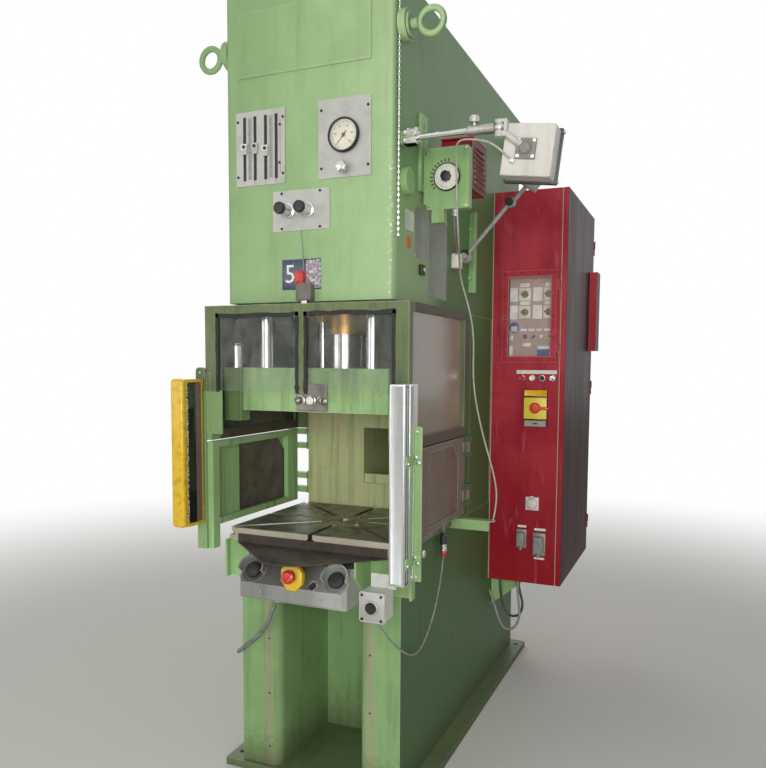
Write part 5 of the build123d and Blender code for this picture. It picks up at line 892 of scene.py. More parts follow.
slider_knobs = []
for index, z in ((0, 2376), (1, 2376), (2, 2364)):
    x = -252 + index * 44
    knob = turned("slider_knob", [(5.5, 0), (6, 1), (6, 4), (5.2, 5.5), (2, 6)], 24, (x + 1, -936, z + 8),
                  FRONT)
    slider_knobs.append(knob)
    block = plate_of("slider_block", (x - 12, x + 12), (-937, -933.6), (z - 2, z + 19), front_face, 2, 0.8,
                     0.8)
    fit(block, white_plastic if index != 1 else grey_case)
    block.name = f"slider_block_{index}"
fit(join("slider_knobs", slider_knobs), black_plastic)


# Numbers 1 to 4 under the four slots of the scale plate: thin black figures that lie
# on the sheet.
def stamped(name, text, size, x, y, z, material, turn=(90, 0, 0), thick=0.25, body="press_frame"):
    """Numbers as thin raised figures."""
    bpy.ops.object.select_all(action="DESELECT")
    bpy.ops.object.text_add(location=(0, 0, 0))
    label = bpy.context.object
    label.data.body = text
    label.data.size = size / 1000
    label.data.extrude = thick / 1000
    label.data.align_x = "CENTER"
    label.data.align_y = "CENTER"
    label.data.resolution_u = 2
    bpy.ops.object.convert(target="MESH")
    label.name = label.data.name = name
    place_at(label, x, y, z, turn)
    return fit(label, material, body) if material else label


for index in range(4):
    stamped(f"slot_number_{index}", str(index + 1), 9, -252 + index * 44, -929.2, 2257, ink)

# Pressure gauge: a black pressed case screwed behind its plate, with a cream dial under
# flat glass. The dial has a printed scale and a black needle on a hub.
gauge_x, gauge_z = 150, 2385
rim = turned("gauge_rim", [(57, 0), (58.5, 1.5), (58.5, 11), (56.5, 14), (52, 14), (51.5, 11), (51.5, 6)],
             64, (gauge_x, -929, gauge_z), FRONT)
pick(rim, lambda c, n: n.y < -0.9 and abs(c.x - gauge_x) < 10 and abs(c.z - gauge_z) < 10)
bpy.ops.mesh.delete(type="FACE")
close()
fit(rim, black_plastic)
dial_white = moulded("cream_dial_enamel", "#E9E4CF", "#D9D2B8", 0.5, spread=0.9)
dial = turned("gauge_dial", [(51.8, 0), (51.8, 0.8), (51, 1.2)], 64, (gauge_x, -933.2, gauge_z), FRONT)
fit(dial, dial_white)
strokes = []
for step in range(51):
    angle = math.radians(225 - step * 5.4)
    long = 7.5 if step % 5 == 0 else 4
    wide = 1.1 if step % 5 == 0 else 0.5
    stroke = slab("stroke", (-wide / 2, wide / 2), (-0.3, 0), (46.5 - long, 46.5))
    place_at(stroke, gauge_x, -934.5, gauge_z, (0, 90 - math.degrees(angle), 0))
    strokes.append(stroke)
for step in range(0, 11, 2):
    angle = math.radians(225 - step * 27)
    strokes.append(stamped("dial_number", str(step * 10), 8.5, gauge_x + 32 * math.cos(angle), -934.5,
                           gauge_z + 32 * math.sin(angle), None))
fit(join("gauge_scale", strokes), ink)
needle = slab("gauge_pointer", (-1.6, 1.6), (-937, -936.2), (-16, 42))
squeeze(needle, top_face, (0.15, 1, 1), (0, -0.9366, 0.042))
hub = turned("needle_hub", [(6.5, 0), (7, 0.8), (5.5, 2.6)], 32, (0, -935.8, 0), FRONT)
needle = join("gauge_pointer", [needle, hub])
place_at(needle, gauge_x, 0, gauge_z, (0, 220, 0))
fit(needle, ink, "needle", stands_for=["gauge_needle"])
glass = pane_plastic("gauge_glass", "#DDE2E2", 0.03, 0.3, 0.03)
cover = turned("gauge_cover", [(51.4, 0), (51.4, 1.2), (50.4, 1.8)], 64, (gauge_x, -939.5, gauge_z), FRONT)
fit(cover, glass)

# Shut-off knob below the gauge: six-lobed chromed knob on a turned collar.
knob = lathe("shut_off_knob", [(12, 0), (13, 2), (13, 6), (9, 8), (9, 11), (19, 13), (20.5, 17), (20.5, 25),
                               (18, 29), (12, 30.5), (4, 31)], sides=36)
squeeze(knob, lambda c, n: c.z > 12 and c.xy.length > 18.5 and math.cos(6 * math.atan2(c.y, c.x)) < -0.3,
        (0.84, 0.84, 1), (0, 0, 0.02))
place_at(knob, gauge_x, -930, 2277, FRONT)
fit(knob, hard_chrome, "gauge_shut_off", stands_for=["gauge_valve"])

# Two flow valves: knurled chrome knobs 42 mm across with black end caps.
for side, x in (("left", -72), ("right", 6)):
    collar = lathe("valve_collar", [(26, 0), (27, 1), (27, 4), (21, 7), (21, 10)], sides=36)
    grip = lathe("valve_grip", [(19, 9), (21.5, 11), (21.5, 50), (19.5, 54), (17.5, 54)], sides=72)
    squeeze(grip, lambda c, n: abs(n.z) < 0.2 and round(math.degrees(math.atan2(c.y, c.x)) / 5) % 2 == 0,
            (0.955, 0.955, 1))
    grip = join(f"valve_grip_{side}", [grip, collar])
    place_at(grip, x, -930, 2146, FRONT)
    fit(grip, hard_chrome, f"{side}_valve", stands_for=[f"valve_knob_{side}"])
    cap = turned(f"valve_cap_{side}", [(20.4, 51), (21, 52), (21, 63), (19.5, 66), (14, 66.4), (13, 65),
                                       (3, 65)], 36, (x, -930, 2146), FRONT)
    fit(cap, black_plastic, f"{side}_valve")

# Name field: a raised frame left bare. Its edges are worn, its face is repainted.
field = plate_of("name_field_border", (-283, 249), (-931.6, -928.6), (2625, 2860), front_face, 7, 2.2, 0.8)
fit(field, green_enamel)

# Station plate and the guard's safety switch: a dark blue enamelled number plate behind
# a grey switch whose red part shows that the guard is closed; its wire runs straight up.
blue_enamel = moulded("dark_blue_enamel", "#232C4E", "#5D6379", 0.3, spread=0.7, coat=0.4)
plate = slab("station_plate", (-99, 58), (-926.4, -925), (1869, 1976))
soften(plate, 0.6)
fit(plate, blue_enamel)
stamped("station_number", "5", 92, -66, -926.6, 1922, white_plastic, thick=0.3)
switch = plate_of("switch_case", (-27, 33), (-956, -926.6), (1829, 1886), front_face, 5, 2)
sink(switch, top_face, 6, -4)
soften(switch, 2)
switch_grey = moulded("grey_die_cast_switch", "#6E6C64", "#55534B", 0.45)
fit(switch, switch_grey, stands_for=["interlock_switch"])
flag = plate_of("switch_flag", (-34, -2), (-950, -926.6), (1889, 1932), front_face, 4, -3)
soften(flag, 3, segments=3)
fit(flag, signal_red)
tongue = plate_of("switch_tongue", (-9, 13), (-948, -941), (1815, 1830), front_face, 3, 1)
fit(tongue, zinc_steel)
worn_side = moulded("scraped_plate_film", "#8E7F86", "#D4D2CC", 0.5, spread=0.16, scuff=95.0)
scrape = plate_of("station_plate_scrape", (-2, 57), (-927, -926.3), (1873, 1972), front_face, 2, 0.1)
fit(scrape, worn_side)
wire = lathe("switch_wire", [(1.6, 0)] + [(1.6, step * 12) for step in range(1, 17)], sides=8)
pick(wire, lambda c, n: c.z > 40 and c.z < 150)
bpy.ops.transform.translate(value=(0.004, -0.004, 0))
close()
place_at(wire, -6, -931, 1884, (0, -4, 0))
fit(wire, grey_pvc)


# Guard: welded angle frame, olive and oily above, brighter where its lower corners
# were repainted.
tree, painted = coat_of(guard_green)
axes = split(tree, place_of(tree))
fresh = ramp(tree, axes["Z"], 1.506, 1.498, 0.75)
ahead = calc(tree, "LESS_THAN", axes["Y"], -0.85)
fresh = calc(tree, "MULTIPLY", fresh, ahead)
new_coat = mix(tree, fresh, painted, "#8FB077")
# its right side is painted brown as a reflection of the red cabinet
axes_face = split(tree, facing_of(tree))
out = ramp(tree, axes_face["X"], 0.3, 0.9, 0.85)
back = ramp(tree, axes["Y"], -0.92, -0.90)
both = calc(tree, "MULTIPLY", out, back)
brown = mix(tree, both, new_coat, "#4B3C38")
feed(tree, "Base Color", brown)
# the right door is painted brown as a reflection of the red cabinet
red_reflection_door = enamel("red_reflection_door_enamel", "#75655A", "#6A5A50", "#3E332D", soiled=0.7, specks=0.4, gloss=0.4)
paint_node(red_reflection_door, "door_right")

# Rubber strips that hold the guard's front panes: black profile pushed over the edges,
# gone wavy with age, on three sides of each pane.
wave = bpy.data.textures.new("aged_rubber_wave", "CLOUDS")
wave.noise_scale = 0.07


def wavy(name, x, y, z, direction, strength=7.0):
    """Rubber strip whose course wanders a few millimetres."""
    strip = slab(name, x, y, z)
    pick(strip, every_face)
    bpy.ops.mesh.subdivide(number_cuts=24)
    close()
    bend = strip.modifiers.new("wander", "DISPLACE")
    bend.texture = wave
    bend.texture_coords = "GLOBAL"
    bend.direction = direction
    bend.strength = strength / 1000
    bend.mid_level = 0.5
    bpy.ops.object.modifier_apply(modifier="wander")
    return soften(strip, 0)


strips = []
for side in (-1, 1):
    near, far = (-23, -10) if side < 0 else (10, 23)
    strips.append(wavy("mullion_strip", (near, far), (-968, -960), (1500, 1787), "X"))
    near, far = (-361, -348) if side < 0 else (348, 361)
    strips.append(wavy("post_strip", (near, far), (-968, -960), (1500, 1787), "X"))
    near, far = (-361, -10) if side < 0 else (10, 361)
    strips.append(wavy("top_strip", (near, far), (-968, -960), (1774, 1789), "Z", 12.0))
    strips.append(turned("strip_end", [(8, 0), (10, 2), (10, 6), (7, 8)], 20, (side * 17, -962, 1522),
                         FRONT))
fit(join("guard_rubber", strips), black_rubber, stands_for=["guard_gaskets"])

# Left light curtain: yellow tubular front, and a dark window with a brown filter strip
# in the side that looks across the die space.
front = slab("curtain_front_left", (-456, -399.4), (-1114, -1086), (1009, 1549))
soften(front, 13, segments=5)
fit(front, signal_yellow)
lens = moulded("dark_curtain_window", "#101114", "#2A2B30", 0.12, coat=0.6)
glass = plate_of("curtain_window_left", (-403.8, -399.0), (-1085, -1040), (1022, 1536), right_face, 4, 1)
fit(glass, lens)
filter_brown = moulded("brown_filter_strip", "#75605A", "#5A4A46", 0.35)
band = plate_of("curtain_filter_left", (-403.8, -399.3), (-1039, -1008), (1022, 1536), right_face, 3, -0.6)
fit(band, filter_brown)
flaked = moulded("flaked_window_edge", "#17171A", "#E2E0DA", 0.5, spread=0.06, scuff=160.0)
edge = plate_of("curtain_edge_left", (-400.2, -398.6), (-1089, -1083), (1022, 1536), right_face, 0.6, 0.2)
fit(edge, flaked)
for name, z in (("top", (1537, 1548)), ("foot", (1010, 1021))):
    lip = slab(f"curtain_{name}_left", (-403, -398.2), (-1090, -995), z)
    soften(lip, 1)
    fit(lip, signal_yellow)

# Right light curtain: extruded aluminium with a slot down its outer side, painted dark as shade, held on
# the green carrier by two folded clamps.
slot_shade = moulded("shaded_profile_slot", "#5B5953", "#48463F", 0.5)
groove = plate_of("profile_slot_right", (450, 455.6), (-1101, -1077), (900, 1540), right_face, 6, 2)
fit(groove, slot_shade)
face = plate_of("profile_face_right", (454, 457.5), (-1074, -1030), (897, 1542), right_face, 8, 1.2, 0.8)
fit(face, satin_aluminium)
front = plate_of("profile_front_right", (402, 452), (-1109, -1105), (897, 1542), front_face, 7, 1, 0.8)
fit(front, satin_aluminium)
angle = plate_of("carrier_angle_right", (454.6, 458), (-1026, -979), (897, 1405), right_face, 3, -0.6)
flange = plate_of("carrier_flange", (451, 483), (-1031, -1026), (897, 1405), front_face, 3, -0.6)
fit(join("carrier_angle_right", [soften(angle, 0.8), soften(flange, 0.8)]), bracket_green)
clamps, screws = [], []
for z in (968, 1298):
    clamps.append(plate_of("profile_clamp", (455, 459), (-1106, -1031), (z - 17, z + 17), right_face, 4,
                           -0.8, 1))
    clamps.append(plate_of("profile_clamp", (455, 483), (-1036, -1031.2), (z - 21, z + 21), front_face, 4,
                           -0.8, 1))
    screws.append(turned("clamp_button_screw", [(6, 0), (6.5, 1), (5.5, 4), (3, 5)], 20,
                         (459.5, -1092, z - 7), RIGHT))
    for x, rise in ((464, 9), (473, -9)):
        screws.append(turned("clamp_button_screw", [(7.5, 0), (8, 1), (7, 4), (4, 5)], 20,
                             (x, -1036.5, z + rise), FRONT))
for x, y, z in ((467, -1031.5, 1390), (467, -1031.5, 912), (-424, -978, 1570), (-424, -978, 925)):
    screws.append(turned("carrier_screw", [(5, 0), (5.5, 1), (4.6, 3.4), (2, 4)], 20, (x, y, z), FRONT))
fit(join("profile_clamps", clamps), bracket_green)
fit(join("carrier_screws", screws), zinc_steel)

# Latch of the right door: a chromed pull knob on a stepped sleeve, standing out of a
# small plate near the door's lower front corner, in the door's brown painted reflection.
latch = turned("door_latch_knob", [(9, 0), (9, 14), (6, 15), (6, 30), (10, 31), (14, 34), (14, 44),
                                   (11, 48), (4, 49)], 32, (409, -925, 962), RIGHT)
fit(latch, hard_chrome, "right_door")
plate = slab("door_latch_plate", (408.5, 412), (-948, -902), (938, 986))
soften(plate, 1.2)
fit(plate, red_reflection_door, "right_door")


# Control console: grey cast housing with a sloping face. Two black palm buttons sit in
# pockets under hoods, a yellow block between them carries the emergency stop, and a
# small black button with a chromed ring sits beside it.
def on_slope(piece, x, along, lift):
    """Stand a piece on the console's face, `along` mm up from its middle and `lift` mm off it."""
    rise, run = math.sin(math.radians(50)), math.cos(math.radians(50))
    return place_at(piece, x, -1019 + along * run - lift * rise, 860 + along * rise + lift * run,
                    (50, 0, 0))


for side, x in (("left", -168), ("right", 168)):
    cap = lathe(f"palm_cap_{side}", [(12, -14), (12, -3), (25, -3), (29, -1), (30, 3), (29, 9), (24, 13.5),
                                     (15, 16), (6, 17)], sides=48)
    on_slope(cap, x, 0, 0)
    fit(cap, black_rubber, f"{side}_palm", stands_for=[f"palm_button_{side}"])
ring = lathe("button_ring", [(14.5, 0), (14.5, 4), (13.4, 5.4), (11.6, 5.4), (11.4, 2)], sides=36)
on_slope(ring, 88, -36, 1)
fit(ring, hard_chrome)
push = lathe("console_push", [(11, 0), (11, 6.5), (10, 8), (7, 7.4)], sides=36)
on_slope(push, 88, -36, 1)
fit(push, black_plastic, "console_push", stands_for=["console_button"])


# The stop's yellow housing is eight-sided and leans nearer to the upright than the face.
def on_stop(piece):
    """Stand a piece of the emergency stop on the console, leaning back 10 degrees."""
    return place_at(place_at(piece, 0, 0, 0, (0, 0, 22.5)), 5, -1036, 861, (80, 0, 0))


block = lathe("stop_block", [(38, -18), (45, -12), (46, 8), (44, 12), (38, 15), (24, 16)], sides=8)
squeeze(block, every_face, (1, 1.18, 1))
soften(on_stop(block), 1.5)
fit(block, signal_yellow, stands_for=["estop_block"])
collar = on_stop(lathe("stop_collar", [(19, 14), (19, 19), (14, 20), (13, 31)], sides=40))
fit(collar, black_plastic, "estop_head")
head = on_stop(lathe("stop_mushroom", [(16, 28), (23, 30), (24.5, 34), (24, 39), (19, 43.5), (9, 45.5)],
                     sides=48))
fit(head, signal_red, "estop_head", stands_for=["estop_mushroom"])
arrows = []
for start in (20, 140, 260):
    arc = lathe("turn_arrow", [(12, 45.9), (14.2, 45.3)], sides=36)
    pick(arc, lambda c, n: c.xy.length < 5
         or not 0 <= (math.degrees(math.atan2(c.y, c.x)) - start) % 360 <= 60)
    bpy.ops.mesh.delete(type="FACE")
    close()
    arrows.append(on_stop(arc))
fit(join("turn_arrows", arrows), moulded("pale_red_mark", "#D9837A", "#B9564C", 0.4), "estop_head")

# Console details: two small screws in the lower front face, a hexagon gland under the
# housing, and a second one where the conduit enters the base.
bits = []
for x in (-120, 120):
    bits.append(turned("housing_screw", [(5, 0), (5.6, 0.8), (4.8, 2.8), (2, 3)], 20, (x, -1050, 795),
                       FRONT))
bits.append(turned("conduit_gland", [(15, 0), (15, 12), (11.5, 14), (11.5, 24), (9, 26)], 6,
                   (-90, -985, 768), DOWN))
bits.append(turned("conduit_end_gland", [(16, 0), (16, 14), (12, 16), (12, 26)], 6, (-334, -660, 482),
                   (90, 0, 30)))
fit(join("console_screws", bits), zinc_steel)

# Push-button box on a plate beside the console: light-metal box with a screwed lid, a
# black button in a chromed collar, and a cable gland under it.
lid = slab("box_lid", (301, 387), (-1113.5, -1107), (769, 865))
press(lid, front_face, (4, 0), (2, 1.2))
soften(lid, 1.2)
fit(lid, satin_plate)
box_x, button_z = 344, 817
collar = turned("box_button_collar", [(25, 0), (25.5, 1), (24.5, 6), (22.5, 9), (20, 9), (19.6, 4)], 48,
                (box_x, -1113, button_z), FRONT)
fit(collar, hard_chrome)
push = turned("box_push", [(19, 0), (19, 9.5), (17.6, 11.5), (13, 11.1), (8, 10.5)], 48,
              (box_x, -1112, button_z), FRONT)
fit(push, black_plastic, "box_push", stands_for=["box_button"])
corners = []
for x in (310, 378):
    for z in (777, 857):
        corners.append(turned("lid_screw", [(4.6, 0), (5, 0.6), (4.4, 2.4), (2, 2.8)], 20, (x, -1115, z),
                              FRONT))
for x in (322, 388):
    corners.append(turned("plate_bolt", [(5.5, 0), (6, 0.8), (5, 3.4), (2, 3.8)], 20, (x, -1038, 896),
                          FRONT))
fit(join("box_screws", corners), black_steel)
gland = turned("box_gland", [(9.5, 0), (9.5, 8), (7.5, 9), (7.5, 15), (5, 16)], 24, (box_x, -1066, 768),
               DOWN)
fit(gland, hard_chrome)


# Hanging link chain behind the front corner: a plumb run of small welded links.
links = []
for row in range(91):
    link = lathe("chain_link", [(2.6, -0.9), (3.6, -0.9), (3.6, 0.9), (2.6, 0.9), (2.6, -0.9)], sides=8)
    squeeze(link, every_face, (1.0, 1.55, 1.0))
    links.append(place_at(link, 341, -903, 2890 - row * 9.4, (90, 0, 90 * (row % 2) + 20)))
chain_steel = machined("bright_chain_steel", "#D9D9D2", "#8B8B82", 0.3, stained=0.3, metallic=0.7)
fit(join("hanging_chain", links), chain_steel)
hook = turned("chain_hook", [(4, 0), (4, 6), (2.4, 7), (2.4, 12), (5, 13), (5, 15)], 16, (337, -903, 2898),
              RIGHT)
fit(hook, zinc_steel)

# Plates, an orange dot and a lock on the press's right flank. The light plate is painted,
# the two grey ones are aluminium, and all are left bare.
light_plate = moulded("painted_light_plate", "#C9CBC4", "#A9ABA2", 0.5)
grey_plate = machined("weathered_aluminium_plate", "#8C9488", "#6C7568", 0.5, stained=0.5, metallic=0.3)
plates = [("type_plate", (-827, -750), (2076, 2145), light_plate),
          ("duty_plate", (-743, -605), (1991, 2172), grey_plate),
          ("oil_plate", (-596, -386), (1862, 2173), grey_plate)]
rivets = []
for name, y, z, material in plates:
    sheet = plate_of(name, (337, 338.2), y, z, right_face, 3, 0.3, 0.5)
    fit(sheet, material)
    for across in (y[0] + 6, y[1] - 6):
        for up in (z[0] + 6, z[1] - 6):
            rivets.append(turned("plate_rivet", [(2.6, 0), (2.4, 1), (1.2, 1.6)], 12, (338.2, across, up),
                                 RIGHT))
fit(join("flank_rivets", rivets), zinc_steel)
orange = moulded("orange_marker", "#C9652A", "#A9501E", 0.5)
dot = turned("orange_marker_dot", [(21, 0), (21, 1.4), (19.5, 2)], 32, (337, -800, 2034), RIGHT)
fit(dot, orange)
lock = plate_of("flank_lock_case", (337, 349), (-696, -660), (1934, 1970), right_face, 3, 1.5, 2)
fit(lock, black_steel)
barrel = turned("flank_lock_barrel", [(9, 0), (9, 4), (7, 5), (3, 4)], 24, (349, -678, 1952), RIGHT)
fit(barrel, zinc_steel)

# Arm for the operator terminal: two clamping blocks on a rail hold a chromed tube; a
# sleeve with a star knob and a ball joint carries the terminal at its end.
arm_y, arm_z = -855, 2372
blocks = []
for z, high in ((2349, 2369), (2375, 2395)):
    blocks.append(plate_of("tube_clamp_half", (345, 391), (-880, -830), (z, high), front_face, 4, 1, 2.5))
for x in (353, 383):
    screw = socket_screw("clamp_bolt", 9)
    blocks.append(place_at(screw, x, arm_y, 2395, (0, 0, x)))
fit(join("tube_clamp", blocks), zinc_steel)
tube = turned("arm_tube", [(10.6, 0), (10.6, 110), (12.4, 111), (12.4, 119), (10.6, 120), (10.6, 222)], 32,
              (345, arm_y, arm_z), RIGHT)
fit(tube, hard_chrome, "arm")
sleeve = turned("arm_sleeve", [(14, 0), (16, 2), (16, 40), (14.5, 42), (14.5, 60), (16, 62), (16, 90),
                               (13, 93)], 32, (566, arm_y, arm_z), RIGHT)
joint = turned("arm_ball", [(6, -19), (15, -14), (19, -6), (20, 0), (19, 6), (15, 14), (6, 19)], 32,
               (673, arm_y, arm_z), FRONT)
fit(join("arm_joint", [sleeve, joint]), zinc_steel, "arm")
star = lathe("arm_knob", [(6, 0), (6, 12), (14, 14), (16, 18), (16, 28), (12, 33), (4, 34)], sides=30)
squeeze(star, lambda c, n: c.z > 12 and c.xy.length > 14 and math.cos(5 * math.atan2(c.y, c.x)) < -0.2,
        (0.8, 0.8, 1), (0, 0, 0.02))
place_at(star, 589, arm_y, 2386)
fit(star, white_plastic, "arm")

# Dial box: a green sheet box with a white dial under a black rim, printed time marks
# round its left half and a black star knob; a gland and a grey lead run below.
dial_x, dial_z = 439, 2275
face = turned("time_dial", [(45, 0), (46, 1), (46, 3), (43, 3.4)], 48, (dial_x, -690.5, dial_z), FRONT)
fit(face, white_plastic)
rim = turned("time_dial_rim", [(46, -4), (49.5, -4), (50, 1), (48.5, 4.6), (45.6, 4.6), (45.2, 3)], 48,
             (dial_x, -690.5, dial_z), FRONT)
fit(rim, black_plastic)
marks, dashes = [], []
for step in range(24):
    mark = slab("dial_stroke", (-0.5, 0.5), (-0.4, 0), (37 if step % 2 else 34, 42))
    marks.append(place_at(mark, dial_x, -694, dial_z, (0, step * 15, 0)))
for step in range(11):
    dash = slab("box_dash", (-2, 2), (-0.6, 0), (55, 66))
    dashes.append(place_at(dash, dial_x, -685.2, dial_z, (0, -125 + step * 13, 0)))
fit(join("time_strokes", marks), ink)
fit(join("time_dashes", dashes), ink)
knob = lathe("time_knob", [(16, 0), (20, 3), (20, 14), (17, 19), (7, 21)], sides=32)
squeeze(knob, lambda c, n: c.xy.length > 18.5 and c.z > 2 and math.cos(8 * math.atan2(c.y, c.x)) < -0.2,
        (0.84, 0.84, 1))
place_at(knob, dial_x, -694, dial_z, FRONT)
fit(knob, black_plastic, "setting_dial", stands_for=["dial_knob"])
edges = []
for x in (369, 511):
    for z in (2172, 2373):
        edges.append(turned("box_screw", [(3.6, 0), (4, 0.6), (3.4, 2), (1.4, 2.2)], 16, (x, -685, z),
                            FRONT))
edges.append(turned("time_box_gland", [(15, 0), (15, 14), (12, 16), (12, 26), (8, 28)], 6,
                    (459, -666, 2164), DOWN))
fit(join("time_box_screws", edges), hard_chrome)

# Louvre box beside it: maroon sheet box; seven pressed louvres let the heat out.
louvres = []
for row in range(7):
    fin = slab("louvre", (412, 504), (-645.5, -639), (2262 + row * 21, 2271 + row * 21))
    squeeze(fin, front_face, (0.94, 1, 0.4), (0.458, -0.6455, (2264 + row * 21) / 1000))
    louvres.append(soften(fin, 1))
for row in range(7):
    fin = slab("side_louvre", (518, 525), (-606, -506), (2268 + row * 20, 2274 + row * 20))
    squeeze(fin, right_face, (1, 0.94, 0.4), (0.525, -0.556, (2268 + row * 20) / 1000))
    louvres.append(soften(fin, 1))
fit(join("louvre_fins", louvres), moulded("worn_louvre_edges", "#9A4A4C", "#7A2C32", 0.5))
cover = slab("louvre_box_top", (396, 521), (-642, -460), (2419, 2423))
soften(cover, 1.5)
fit(cover, moulded("bright_red_cover", "#C22A33", "#A4202A", 0.4))

# Junction box on the right flank: a small grey-white case. The lead from the dial box
# ends at it, and a hexagon gland leads from its rear towards the lamp's foot.
case = slab("junction_case", (336.5, 372), (-326, -284), (2001, 2061))
press(case, front_face, (3, 1.5))
soften(case, 2.5)
fit(case, white_plastic)
lead = cord("dial_box_lead", [(459, -666, 2140), (458, -650, 2100), (430, -560, 2062), (396, -430, 2066),
                              (360, -330, 2056)], 3, grey_pvc)
link = turned("junction_gland", [(12, 0), (12, 9), (9, 10), (9, 22), (12, 24), (12, 30)], 6,
              (355, -284, 2040), (-90, 0, 0))
fit(link, hard_chrome)

# Machine lamp: two grey tubes on friction joints; its round foot carries a black grip,
# the elbow has a black clamping knob, and a ribbed head of clear plastic hangs below.
lower, upper = math.radians(48), math.radians(47)
foot_x, foot_z = 371, 2056
lower_length, head_at = 281, 170
elbow_x, elbow_z = foot_x + lower_length * math.cos(lower), foot_z + lower_length * math.sin(lower)
drum = turned("lamp_foot_drum", [(20, 0), (23, 2), (23, 30), (20, 33), (12, 33)], 40,
              (foot_x, -209, foot_z - 2), FRONT)
fit(drum, lamp_grey, "lamp_lower")
grip = turned("lamp_foot_grip", [(14, 0), (17, 2), (18, 14), (14, 20), (5, 21)], 32,
              (foot_x, -245, foot_z + 6), (28, 0, 0))
fit(grip, black_rubber, "lamp_lower")
tube = turned("lamp_lower_tube", [(8.5, 14), (8.5, 262)], 24, (foot_x, -245, foot_z), (0, 42, 0))
ring = turned("lamp_elbow_ring", [(14, 0), (20, 2), (20, 20), (14, 22)], 40, (elbow_x, -233, elbow_z),
              FRONT)
fit(join("lamp_lower_tube", [tube, ring]), lamp_grey, "lamp_lower")
tube = turned("lamp_upper_tube", [(8.5, 12), (8.5, 160)], 24, (elbow_x, -224, elbow_z), (0, 43, 0))
fit(tube, lamp_grey, "lamp_upper")
knob = turned("lamp_elbow_knob", [(12, 0), (16, 2), (17, 12), (14, 18), (4, 19)], 32,
              (elbow_x, -257, elbow_z), FRONT)
fit(knob, black_rubber, "lamp_upper")
head_x, head_z = elbow_x + head_at * math.cos(upper), elbow_z + head_at * math.sin(upper)
rings = [(35.5 if step % 2 else 33, 30 + step * 4) for step in range(12)]
ribs = turned("lamp_head_ribs", [(20, 0)] + rings + [(30, 80)], 40, (head_x, -224, head_z), (0, 215, 0))
fit(ribs, pane_plastic("ribbed_lamp_plastic", "#C9CCC8", 0.75, 0.2, 0.25), "lamp_upper")
bit = plate_of("lamp_red_switch", (640, 664), (-252, -246), (2372, 2384), front_face, 2, -1.5, 1.5)
fit(bit, signal_red, "lamp_upper")

# Cable duct high on the press's right side: a folded green sheet cover that stands
# clear of the flank on two short brackets.
cover = slab("duct_cover", (350, 366), (-85, -59), (1922, 2270))
soften(cover, 3)
feet = [cover]
for z in (1985, 2196):
    feet.append(soften(slab("duct_bracket", (337, 352), (-104, -82), (z - 8, z + 8)), 2))
fit(join("duct_cover", feet), bracket_green)


# Operator terminal: cream sheet-steel case with a dark frame towards its screen, whose
# dark grey is partly painted shade. A cast bracket with a speckled grey plate and four bolts carries it on
# the arm.
def on_terminal(piece, x=0, y=0, z=0, turn=(0, 0, 0)):
    """Stand a piece on the terminal; y runs from its back plate towards the screen."""
    place_at(piece, x, y, z, turn)
    return place_at(piece, 762, -829, 2300, (0, 7, 0))


cream = enamel("cream_case_enamel", "#DAD6CD", "#D0CABC", "#8C8474", soiled=0.3, chips=0.2, specks=0.25)
pan = slab("terminal_back", (-81.5, 81.5), (-3, 2), (-81.5, 81.5))
press(pan, front_face, (3, 0), (2, -0.8))
soften(pan, 2)
fit(on_terminal(pan), cream, "operator_terminal")
frame_dark = moulded("dark_terminal_frame", "#3B3A3C", "#55534F", 0.45)
bezel = plate_of("terminal_frame", (-89.5, 89.5), (73, 97), (-89.5, 89.5), rear_face, 9, 2)
soften(bezel, 4, segments=3)
fit(on_terminal(bezel), frame_dark, "operator_terminal")
bolts = []
for z in (-80, 80):
    bolts.append(on_terminal(lathe("frame_bolt", [(6, 0), (7, 1), (7, 5), (5, 7), (2, 7)], sides=20), 89,
                             85, z, RIGHT))
speckled = moulded("speckled_cast_plate", "#7C7A74", "#B9B7AE", 0.5, spread=0.5, scuff=190.0)
mount = slab("terminal_mount", (-39, 27), (-11, -2), (-31, 35))
press(mount, front_face, (8, 2))
soften(mount, 2)
fit(on_terminal(mount), speckled, "operator_terminal")
for x in (-31, 19):
    for z in (-23, 27):
        bolts.append(on_terminal(lathe("mount_bolt", [(6.2, 0), (6.8, 0.8), (6.8, 4), (5, 5.4)], sides=6),
                                 x, -10, z, (90, 0, 20)))
bolts.append(on_terminal(lathe("terminal_gland", [(9, 0), (9, 8), (7, 9), (7, 15), (5, 16)], sides=6), -46,
                         -3, -38, FRONT))
fit(join("terminal_bolts", bolts), hard_chrome, "operator_terminal")
neck = lathe("terminal_neck", [(21, 0), (22, 3), (19, 10), (15, 13)], sides=36)
fit(on_terminal(neck, -6, -11, 2, FRONT), speckled, "operator_terminal")
screen = plate_of("terminal_screen", (-62, 62), (94, 98.4), (-28, 66), rear_face, 3, 1)
fit(on_terminal(screen), lens, "operator_terminal")
keys = []
for column in range(6):
    for row in range(2):
        key = slab("terminal_key", (-61 + column * 21, -45 + column * 21), (95, 99),
                   (-68 + row * 16, -56 + row * 16))
        keys.append(on_terminal(soften(key, 1)))
fit(join("terminal_keys", keys), grey_case, "operator_terminal")


# Switch cabinet: dark red folded sheet with a rubber seal at the press and a pale one
# round the side door. Its operator panel lies in a recess behind a hinged window.
seal = slab("cabinet_seal", (337, 341.5), (309.5, 313), (540, 2434))
soften(seal, 1)
edge = slab("door_seal", (669, 672.6), (311, 316), (540, 2434))
soften(edge, 0.8)
fit(join("cabinet_seals", [seal, edge]), moulded("beige_seal", "#B7A98C", "#9A8B70", 0.7))

